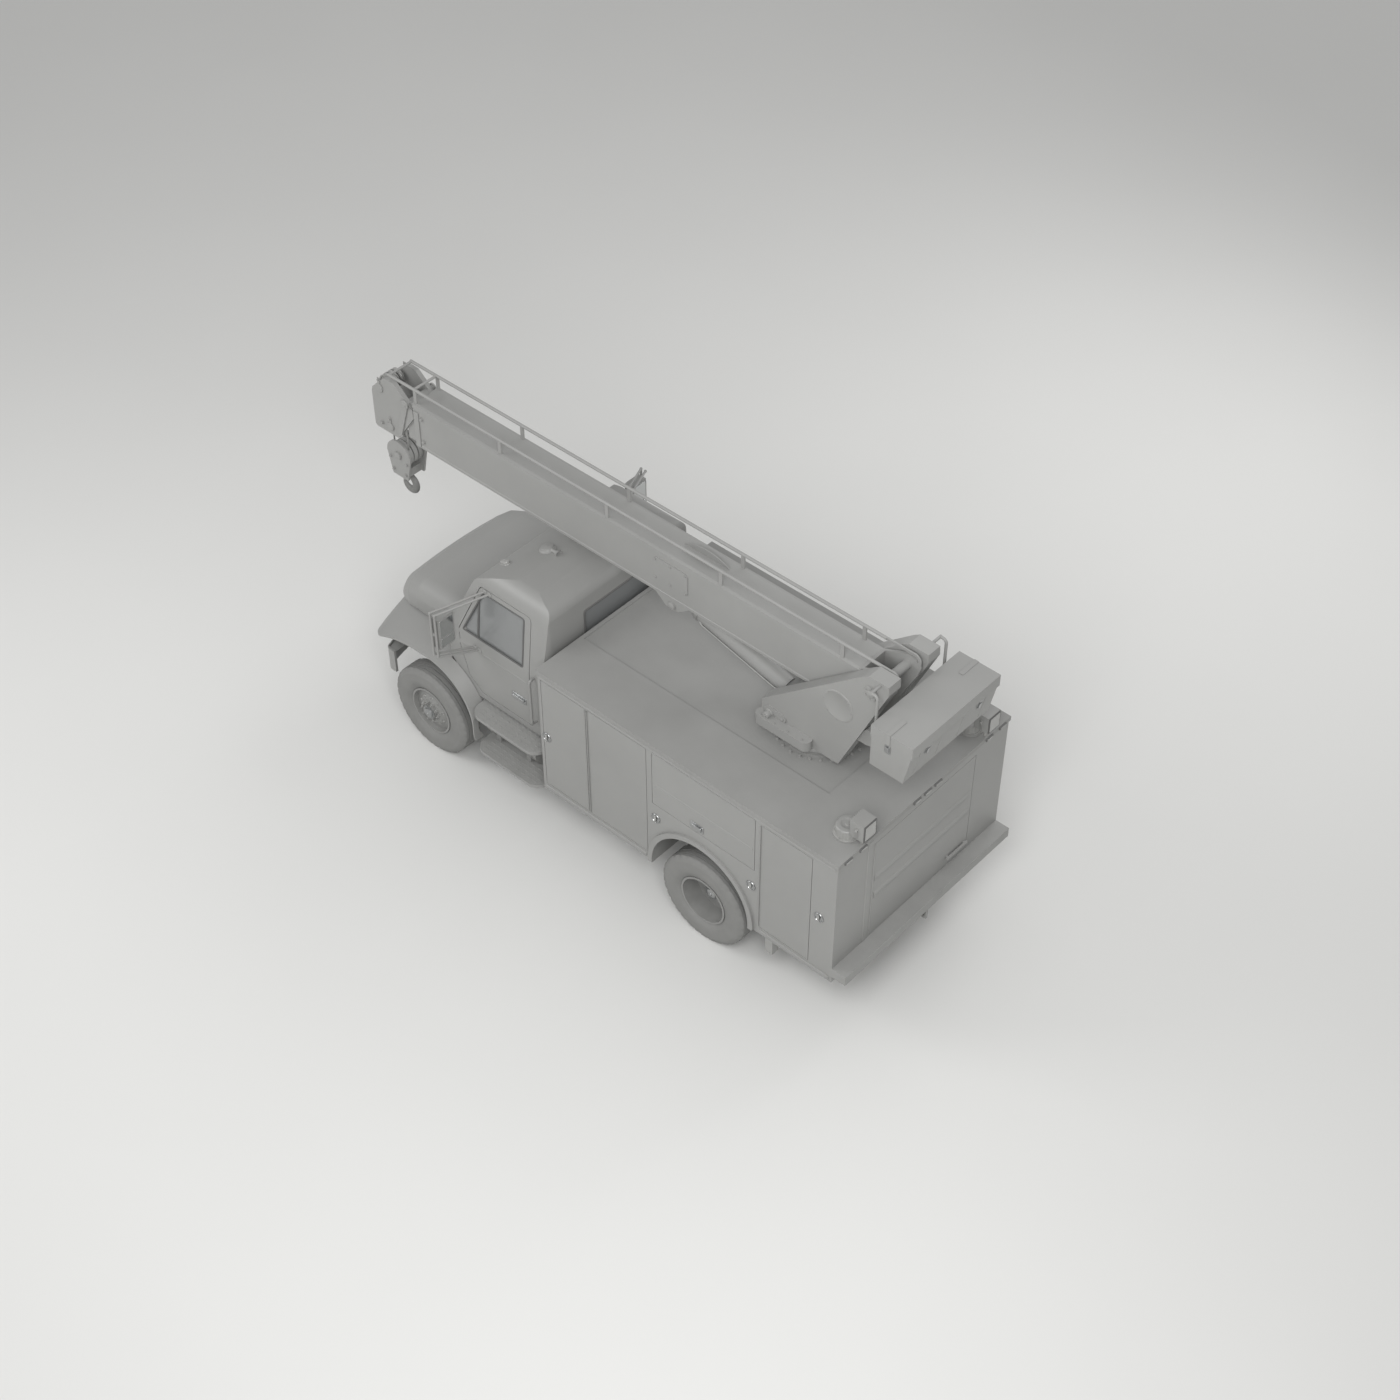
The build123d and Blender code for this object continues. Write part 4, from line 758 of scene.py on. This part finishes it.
sheaves = piece("head_sheaves_grooved", shape, "machined_steel", "boom_extension", smooth=25)
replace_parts(sheaves, "head_sheaves")
for side, name in sides:
    shape = bmesh.new()
    for x, z, radius in head_pins:
        cap = flank(side, x, boom_y, z)
        turned(shape, cap, ((0, 0), (radius, 0), (radius, 0.012), (radius - 0.006, 0.016), (0, 0.016)), 28)
        plate(shape, cap, rounded(0.030, 0.100, 0.006, (0, radius + 0.02)), 0.008)
        bolt(shape, cap @ Matrix.Translation((0, radius + 0.045, 0.008)), 0.018)
    bolt(shape, flank(side, boom_tip_x + 0.493, boom_y, 2.896), 0.030)
    piece(f"head_pin_caps_{name}", shape, "boom_paint", "boom_extension", edge=0.001)
    # Stiffener along the cheek's rear edge, with its pin boss
    shape = bmesh.new()
    boss = flank(side, boom_tip_x + 0.100, boom_y, 3.320)
    foot = Vector((boom_tip_x + 0.236, side * boom_y, 2.890))
    run = foot - boss.translation
    brace = face(boss.translation + run / 2, (0, side, 0), run)
    plate(shape, brace, rounded(0.070, run.length + 0.060, 0.034), 0.014)
    turned(
        shape, boss,
        ((0, 0.014), (0.050, 0.014), (0.050, 0.026), (0.044, 0.030), (0.026, 0.030), (0.024, 0.036),
         (0, 0.037)),
    )
    piece(f"head_brace_{name}", shape, "boom_paint", "boom_extension", edge=0.002)
    shape = bmesh.new()
    cap = flank(side, hang_x, 0.132, 2.510)
    turned(shape, cap, ((0, 0), (0.042, 0), (0.042, 0.006), (0.034, 0.010), (0, 0.010)), 28)
    for u, v in ((-0.09, -0.21), (0.09, -0.21), (-0.12, -0.06), (0.12, -0.06)):
        bolt(shape, cap @ Matrix.Translation((u, v, -0.014)), 0.026)
    piece(f"block_caps_{name}", shape, "boom_paint", "hook_block")

# Forged hook: thick bowl thinning to the point, shank, collar and spring latch
bowl = Vector((hang_x, 0, 2.095))
bowl_r, stock_r, ring_count, bends = 0.085, 0.027, 20, 48
shape = bmesh.new()
rings = []
for k in range(bends + 1):
    angle = math.radians(90 + 270 * k / bends)
    swell = math.sin(math.pi * k / bends)
    taper = 0.010 * (k / bends) ** 3
    thick, wide = stock_r + 0.019 * swell - taper, stock_r + 0.006 * swell - taper
    outward = Vector((math.cos(angle), 0, math.sin(angle)))
    ring = []
    for j in range(ring_count):
        turn = 2 * math.pi * j / ring_count
        reach = outward * (bowl_r + thick * math.cos(turn)) + Y * wide * math.sin(turn)
        ring.append(shape.verts.new(bowl + reach))
    rings.append(ring)
tip = shape.verts.new(bowl + Vector((bowl_r, 0, 0.010)))
for j in range(ring_count):
    following = (j + 1) % ring_count
    for ring, after in zip(rings, rings[1:]):
        shape.faces.new((ring[j], ring[following], after[following], after[j]))
    shape.faces.new((rings[-1][j], rings[-1][following], tip))
shank = face(bowl + (bowl_r - 0.015) * Z, (0, 0, 1), X)
turned(
    shape, shank,
    ((0, 0), (stock_r, 0), (stock_r, 0.024), (0.036, 0.030), (0.036, 0.046), (0.030, 0.052), (0.030, 0.069),
     (0, 0.069)), 28,
)
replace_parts(piece("hook_forged", shape, "cast_metal", "hook", smooth=50), "hook")
latch = face(bowl + Vector((0.045, 0, 0.034)), (0.75, 0, 0.66), Y)
plates("hook_latch", latch, ((rounded(0.024, 0.095, 0.008), 0.003, 0.0),), "machined_steel", "hook")

# Lift cylinder: gland nut, stage collar and hard pipe
lift_foot = Vector((lift_base_x, 0, lift_base_z))
lift_run = Vector((lift_eye_x, 0, lift_eye_z)) - lift_foot
lift_line = lift_run.normalized()
barrel_end = lift_run.length - 0.190


def along_lift(distance):
    """Place on the lift cylinder's line, measured from its foot pin."""
    return lift_foot + lift_line * distance


gland = face(along_lift(barrel_end - 0.055), lift_line, Y)
shape = bmesh.new()
turned(shape, gland, ((0.088, 0), (0.098, 0.004), (0.098, 0.040), (0.092, 0.054), (0.067, 0.054)), 40)
for surface in ring_spots(gland, 0.080, 8, 0.052):
    bolt(shape, surface, 0.012)
piece("lift_gland", shape, "machined_steel", "lift_barrel")
round_piece(
    "stage_collar", face(along_lift(barrel_end + 0.022), lift_line, Y),
    ((0.066, 0), (0.072, 0.002), (0.072, 0.014), (0.066, 0.018), (0.046, 0.018)),
    "machined_steel", "lift_stage", 40,
)
pipe_out = lift_line.cross(Y)
pipe_side = 0.100 * (0.8 * Y - 0.6 * pipe_out)
bar(
    "lift_pipe",
    [along_lift(0.140) + 0.9 * pipe_side, along_lift(0.170) + pipe_side, along_lift(0.210) + pipe_side,
     along_lift(barrel_end - 0.16) + pipe_side, along_lift(barrel_end - 0.11) + pipe_side,
     along_lift(barrel_end - 0.09) + 0.85 * pipe_side],
    0.010, "machined_steel", "lift_barrel",
)


# Cab: window mouldings, handles, mirrors, wipers and roof fittings
def cab_side_y(height):
    """Half width of the cab's side at a height above the belt."""
    return cab_y - 0.095 * (height - belt_z) / 0.85


screen_low, screen_back, screen_rise = 1.890, 0.325, 0.670
screen_up = Vector((-screen_back, 0, screen_rise)).normalized()
screen_out = Vector((screen_rise, 0, screen_back)).normalized()


def screen_x(height):
    """X of the windscreen's outer face at a height."""
    return ahead(1.305 - screen_back * (height - screen_low) / screen_rise)


def round_corners(corners, reach=0.05):
    """Points each side of the corners, so that a smooth closed line keeps its straight runs."""
    points = []
    for before, corner, after in zip(corners[-1:] + corners[:-1], corners, corners[1:] + corners[:1]):
        corner = Vector(corner)
        for other in (before, after):
            points.append(corner + (Vector(other) - corner).normalized() * reach)
        points.insert(-1, corner)
    return points


screen = ((-0.85, 1.935), (0.85, 1.935), (0.85, 2.495), (-0.85, 2.495))
bar(
    "windscreen_moulding", round_corners([(screen_x(z), y, z) for y, z in screen]),
    0.013, "seal_rubber", "truck", closed=True,
)
rear_window = ((-0.48, 1.950), (0.48, 1.950), (0.48, 2.420), (-0.48, 2.420))
bar(
    "rear_window_moulding", round_corners([(cab_x, y, z) for y, z in rear_window]),
    0.012, "seal_rubber", "truck", closed=True,
)
for side, name in sides:
    door = f"cab_door_{name}"
    window = [(ahead(0.315), 1.880), (ahead(1.130), 1.880), (ahead(0.865), 2.450), (ahead(0.315), 2.450)]
    bar(
        f"door_window_moulding_{name}",
        round_corners([(x, side * (cab_side_y(z) - 0.002), z) for x, z in window], 0.04),
        0.010, "seal_rubber", door, closed=True,
    )
    post_foot, post_head = [(ahead(0.930), side * (cab_side_y(z) - 0.010), z) for z in (1.885, 2.305)]
    run_piece(
        f"quarter_light_post_{name}", post_foot, post_head, rounded(0.022, 0.012, 0.003), "seal_rubber", door,
        up=Y,
    )
    handle = flank(side, ahead(0.390), cab_y, 1.425)
    shape = bmesh.new()
    plate(shape, handle, rounded(0.200, 0.085, 0.020), 0.005)
    plate(shape, handle, rounded(0.165, 0.036, 0.014, (0, 0.010)), 0.020, 0.005)
    lock = handle @ Matrix.Translation((0.07, -0.026, 0.005))
    turned(shape, lock, ((0.011, 0), (0.011, 0.004), (0, 0.005)), 16)
    piece(f"door_handle_{name}", shape, "bright_trim", door, edge=0.003)
    # Pressed swage line along the door under the window
    swage = [(0, -0.016), (side * 0.004, -0.008), (side * 0.004, 0.008), (0, 0.016)]
    run_piece(
        f"door_swage_{name}", (ahead(0.235), side * cab_y, 1.690), (ahead(1.165), side * cab_y, 1.690), swage,
        "body_paint", door,
    )
    # Mirror head: crowned back, bezel and silvered glass
    head = Vector((ahead(1.080) - 0.080, side * 1.343, 2.145))
    front = face(head, (-1, 0, 0))
    back = face(head + 0.100 * X, (1, 0, 0))
    bezel = (rounded(0.198, 0.366, 0.030), 0.006, 0.0)
    plates(f"mirror_bezel_{name}", front, (bezel,), "body_paint", door, 0.003)
    panes = (
        (rounded(0.168, 0.210, 0.020, (0, 0.058)), 0.002, 0.006),
        (rounded(0.168, 0.100, 0.020, (0, -0.112)), 0.004, 0.006),
    )
    plates(f"mirror_glass_{name}", front, panes, "mirror_silver", door, 0.001)
    crown = ((rounded(0.196, 0.364, 0.040), 0.010, 0.0), (rounded(0.160, 0.320, 0.050), 0.010, 0.010))
    plates(f"mirror_back_{name}", back, crown, "body_paint", door, 0.009)
    shape = bmesh.new()
    for x, z in ((ahead(0.840), 2.482), (ahead(0.780), 2.482), (ahead(0.970), 1.725), (ahead(0.910), 1.725)):
        foot_y = cab_side_y(z) if z > belt_z else cab_y
        turned(
            shape, flank(side, x, foot_y, z),
            ((0.030, 0), (0.030, 0.006), (0.020, 0.012), (0, 0.012)), 20,
        )
    piece(f"mirror_arm_feet_{name}", shape, "body_paint", door)
for number, y in enumerate((-0.42, 0.34)):
    pivot = Vector((screen_x(1.915), y, 1.915)) + screen_out * 0.002
    blade = face(pivot, screen_out, screen_up)
    shape = bmesh.new()
    turned(shape, blade, ((0.020, 0), (0.020, 0.012), (0.012, 0.018), (0, 0.018)), 16)
    for start, end, wide, lift, tall in (
        ((0, 0), (0.14, 0.26), 0.010, 0.010, 0.006), ((0.03, 0.26), (0.25, 0.26), 0.009, 0.002, 0.012)
    ):
        run = (Vector(end) - Vector(start)).normalized() * wide
        across = Vector((-run.y, run.x))
        corners = [Vector(start) - across, Vector(end) - across, Vector(end) + across, Vector(start) + across]
        plate(shape, blade, [tuple(c) for c in corners], tall, lift)
    piece(f"wiper_{number}", shape, "seal_rubber", "truck", edge=0.001)
horn = landed("cab_shell", (ahead(0.670), 0.280, 3.2), (0, 0, -1), X)
shape = bmesh.new()
turned(
    shape, horn,
    ((0, -0.006), (0.085, -0.006), (0.085, 0.006), (0.070, 0.016), (0.064, 0.034), (0.030, 0.044),
     (0, 0.045)),
)
turned(
    shape, face(horn @ Vector((0, 0, 0.026)), -X, Z),
    ((0, 0.03), (0.018, 0.03), (0.020, 0.090), (0.026, 0.130), (0.040, 0.160), (0.043, 0.163), (0.036, 0.162),
     (0, 0.130)),
)
piece("roof_horn", shape, "body_paint", "truck", edge=0.002)
for side, name in sides:
    plates(
        f"roof_marker_{name}", landed("cab_shell", (ahead(0.880), side * 0.640, 3.2), (0, 0, -1), X),
        ((rounded(0.075, 0.130, 0.035), 0.010, -0.004), (rounded(0.055, 0.105, 0.026), 0.026, 0.004)),
        "lamp_lens", "truck", 0.008,
    )
    # Hood catch, lamp glass and indicator on each side
    plates(
        f"hood_catch_{name}", landed("hood", (ahead(1.560), side * 1.6, 1.640), (0, -side, 0)),
        ((rounded(0.036, 0.110, 0.012), 0.010, 0.0), (rounded(0.050, 0.030, 0.010, (0, -0.055)), 0.022, 0.0)),
        "seal_rubber", "hood", 0.003,
    )
    lamp = face((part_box("front_lamps")[1].x, side * 0.900, 1.050), (1, 0, 0))
    round_piece(
        f"lamp_bezel_{name}", lamp,
        ((0.095, -0.020), (0.106, -0.010), (0.106, 0.006), (0.098, 0.010), (0.090, 0.004)),
        "bright_trim", "truck", 40,
    )
    round_piece(
        f"lamp_glass_{name}", lamp,
        ((0, 0), (0.091, 0), (0.080, 0.012), (0.055, 0.022), (0.025, 0.027), (0, 0.028)),
        "lamp_lens", "truck", 40,
    )
    plates(
        f"side_blinker_{name}", landed("fenders", (ahead(2.050), side * 1.6, 1.270), (0, -side, 0)),
        ((rounded(0.110, 0.050, 0.020), 0.008, -0.002), (rounded(0.090, 0.034, 0.014), 0.016, 0.004)),
        "lamp_lens", "truck", 0.004,
    )

# Radiator core behind the grille bars, and the bumper's bolts
shape = bmesh.new()
core = face((ahead(2.075), 0, 1.118), (1, 0, 0))
plate(shape, core, rounded(1.080, 0.300, 0.01), 0.020)
for k in range(27):
    plate(shape, core, rounded(0.006, 0.290, 0.002, (-0.52 + 0.04 * k, 0)), 0.012, 0.020)
piece("radiator_core", shape, "chassis_paint", "truck")
spots = [
    landed("front_bumper", (6.0, y, z), (-1, 0, 0)) for y in (-0.62, -0.40, 0.40, 0.62) for z in (0.72, 0.88)
]
bolts("bumper_bolts", spots, 0.026, "truck", "bright_trim")

# Covers over the bumper's corners
corner_outline = [
    (2.190, 0.64), (2.405, 0.64), (2.385, 0.74), (2.352, 0.86), (2.315, 0.97), (2.275, 1.05), (2.190, 1.05),
]
bumper_top = Matrix.Translation((cab_x, 0, 0.924))
for side, name in sides:
    outline = [(x, side * y) for x, y in corner_outline][::side]
    plates(f"bumper_cover_{name}", bumper_top, ((outline, 0.008, 0.0),), "body_paint", "truck", 0.002)

# Tanks: straps, end seams and tread bars on the steps
tank_y, tank_z, strap_bore = 0.800, 0.800, 0.2615
tank_hoops = (
    # place, width, outer radius
    (0.180, 0.014, 0.265), (0.866, 0.014, 0.265), (0.245, 0.045, 0.266), (0.800, 0.045, 0.266),
)
for side, name in sides:
    shape = bmesh.new()
    for x, width, radius in tank_hoops:
        turned(
            shape, face((ahead(x), side * tank_y, tank_z), X, Z),
            ((strap_bore, 0), (radius - 0.001, 0), (radius, 0.002), (radius, width - 0.002),
             (radius - 0.001, width), (strap_bore, width)), 56,
        )
    piece(f"tank_straps_{name}", shape, "machined_steel", "truck")
    shape = bmesh.new()
    for top, front in ((1.045, 0.80), (0.585, 0.77)):
        for row in range(4):
            for k in range(9):
                x = 0.08 + (front - 0.08) * k / 8
                stud = face((ahead(x), side * (1.030 + 0.05 * row), top), (0, 0, 1), X)
                plate(shape, stud, rounded(0.016, 0.052, 0.007), 0.004)
    piece(f"step_treads_{name}", shape, "tread_plate", "truck", edge=0.0015)

# Axles: spring clips, drive head cover and its bolts
spring_y = 0.430
for axle, low, high in (("front", 0.395, 0.545), ("rear", 0.440, 0.640)):
    axle_low, axle_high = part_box(f"{axle}_axle")
    middle_x = (axle_low.x + axle_high.x) / 2
    half_clip = ((-0.047, low), (-0.047, high), (-0.043, high + 0.012))
    clip = half_clip + tuple((-out, z) for out, z in half_clip[::-1])
    for side, name in sides:
        for number, shift in enumerate((-0.085, 0.085)):
            points = [(middle_x + shift, side * spring_y + out, z) for out, z in clip]
            bar(f"spring_clip_{axle}_{number}_{name}", points, 0.009, "machined_steel", "truck")
drive = face((middle_x - 0.085, 0, 0.510), (-1, 0, 0))
shape = bmesh.new()
turned(
    shape, drive,
    ((0.150, 0), (0.182, 0), (0.182, 0.016), (0.160, 0.020), (0.150, 0.055), (0.110, 0.098), (0.050, 0.116),
     (0, 0.118)), 40,
)
for surface in ring_spots(drive, 0.172, 12, 0.016):
    bolt(shape, surface, 0.014)
piece("drive_head_cover", shape, "cast_metal", "truck")

# Dash: dials
dash_out = Vector((-0.857, 0, 0.514))
dials = ((0.60, 0.040), (0.49, 0.055), (0.36, 0.055), (0.25, 0.040), (-0.35, 0.038), (-0.60, 0.038))
for number, (y, radius) in enumerate(dials):
    dial = face((ahead(1.100), y, 1.750), dash_out)
    shape = bmesh.new()
    turned(
        shape, dial,
        ((0, 0), (radius, 0), (radius, 0.008), (radius - 0.005, 0.011), (radius - 0.009, 0.004), (0, 0.004)),
        28,
    )
    needle = [(-0.002, -0.006), (0.002, -0.006), (0.018, 0.7 * radius), (0.014, 0.7 * radius)]
    plate(shape, dial, needle, 0.002, 0.004)
    piece(f"dash_dial_{number}", shape, "bright_trim", "truck")


# Seats: crowned cushions with sewn channels
def cushion(name, middle, size, lean, channels):
    """A stuffed pad: sides drawn in between its corners, crowned faces, channels across its front face."""
    shape = bmesh.new()
    bmesh.ops.create_cube(shape, size=2.0)
    bmesh.ops.subdivide_edges(shape, edges=shape.edges, cuts=23, use_grid_fill=True)
    half = Vector(size) / 2
    turn = Matrix.Rotation(lean, 4, "Y")
    for vert in shape.verts:
        u, v, w = vert.co
        inside = abs(u) < 1 and abs(v) < 1
        crown = (1 - abs(u) ** 3.2) ** 0.45 * (1 - abs(v) ** 3.2) ** 0.45 if inside else 0.0
        pull = 1 - 0.035 * (1 - v * v)
        draw = 1 - 0.035 * (1 - u * u)
        corner = (1 - 0.10 * (abs(u) * abs(v)) ** 6)
        height = w * (0.62 + 0.38 * crown)
        if w > 0:
            for line in channels:
                height -= 0.16 * math.exp(-(((u - line) / 0.045) ** 2)) * crown
            height -= 0.10 * math.exp(-(((abs(v) - 0.62) / 0.05) ** 2)) * crown
        spot = Vector((u * half.x * pull * corner, v * half.y * draw * corner, height * half.z))
        vert.co = turn @ spot + Vector(middle)
    made = piece(name, shape, "seat_fabric", "truck", smooth=180)
    smooth = made.modifiers.new("stuffing", "SUBSURF")
    smooth.levels = smooth.render_levels = 1
    return made


for side, name in sides:
    seat_y = side * 0.450
    base = cushion(
        f"seat_cushion_{name}", (ahead(0.480), seat_y, 1.482), (0.435, 0.470, 0.124), 0.0, (-0.35, 0.1, 0.5)
    )
    cushion(
        f"seat_back_{name}", (ahead(0.258), seat_y, 1.868), (0.640, 0.460, 0.116), math.radians(83.1),
        (-0.3, 0.1, 0.5),
    )
    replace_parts(base, "seats")

# Studio: pale floor, even world light and three softboxes
world = bpy.data.worlds.new("studio")
world.use_nodes = True
world.node_tree.nodes["Background"].inputs["Color"].default_value = (1, 1, 1, 1)
world.node_tree.nodes["Background"].inputs["Strength"].default_value = 0.55
scene.world = world
for place, size, power in (((-7, 8, 11), 6.0, 1000), ((8, 8, 9), 6.0, 450), ((-2, -10, 8), 7.0, 350)):
    lamp_data = bpy.data.lights.new("softbox", "AREA")
    lamp_data.size, lamp_data.energy = size, power
    light = bpy.data.objects.new("softbox", lamp_data)
    light.location = place
    light.rotation_euler = (Vector((0, 0, 1.5)) - Vector(place)).to_track_quat("-Z", "Y").to_euler()
    scene.collection.objects.link(light)
floor_mesh = bpy.data.meshes.new("floor")
floor_mesh.from_pydata([(-60, -60, 0), (60, -60, 0), (60, 60, 0), (-60, 60, 0)], [], [(0, 1, 2, 3)])
# Seamless matt paper on the floor, with a faint fibre
coat("floor_paper", "d9d9d7", "d5d5d3", 0.85, drift_mm=3000, grain_mm=40.0, relief_mm=0.1)
floor_mesh.materials.append(finishes["floor_paper"])
floor = bpy.data.objects.new("floor", floor_mesh)
scene.collection.objects.link(floor)
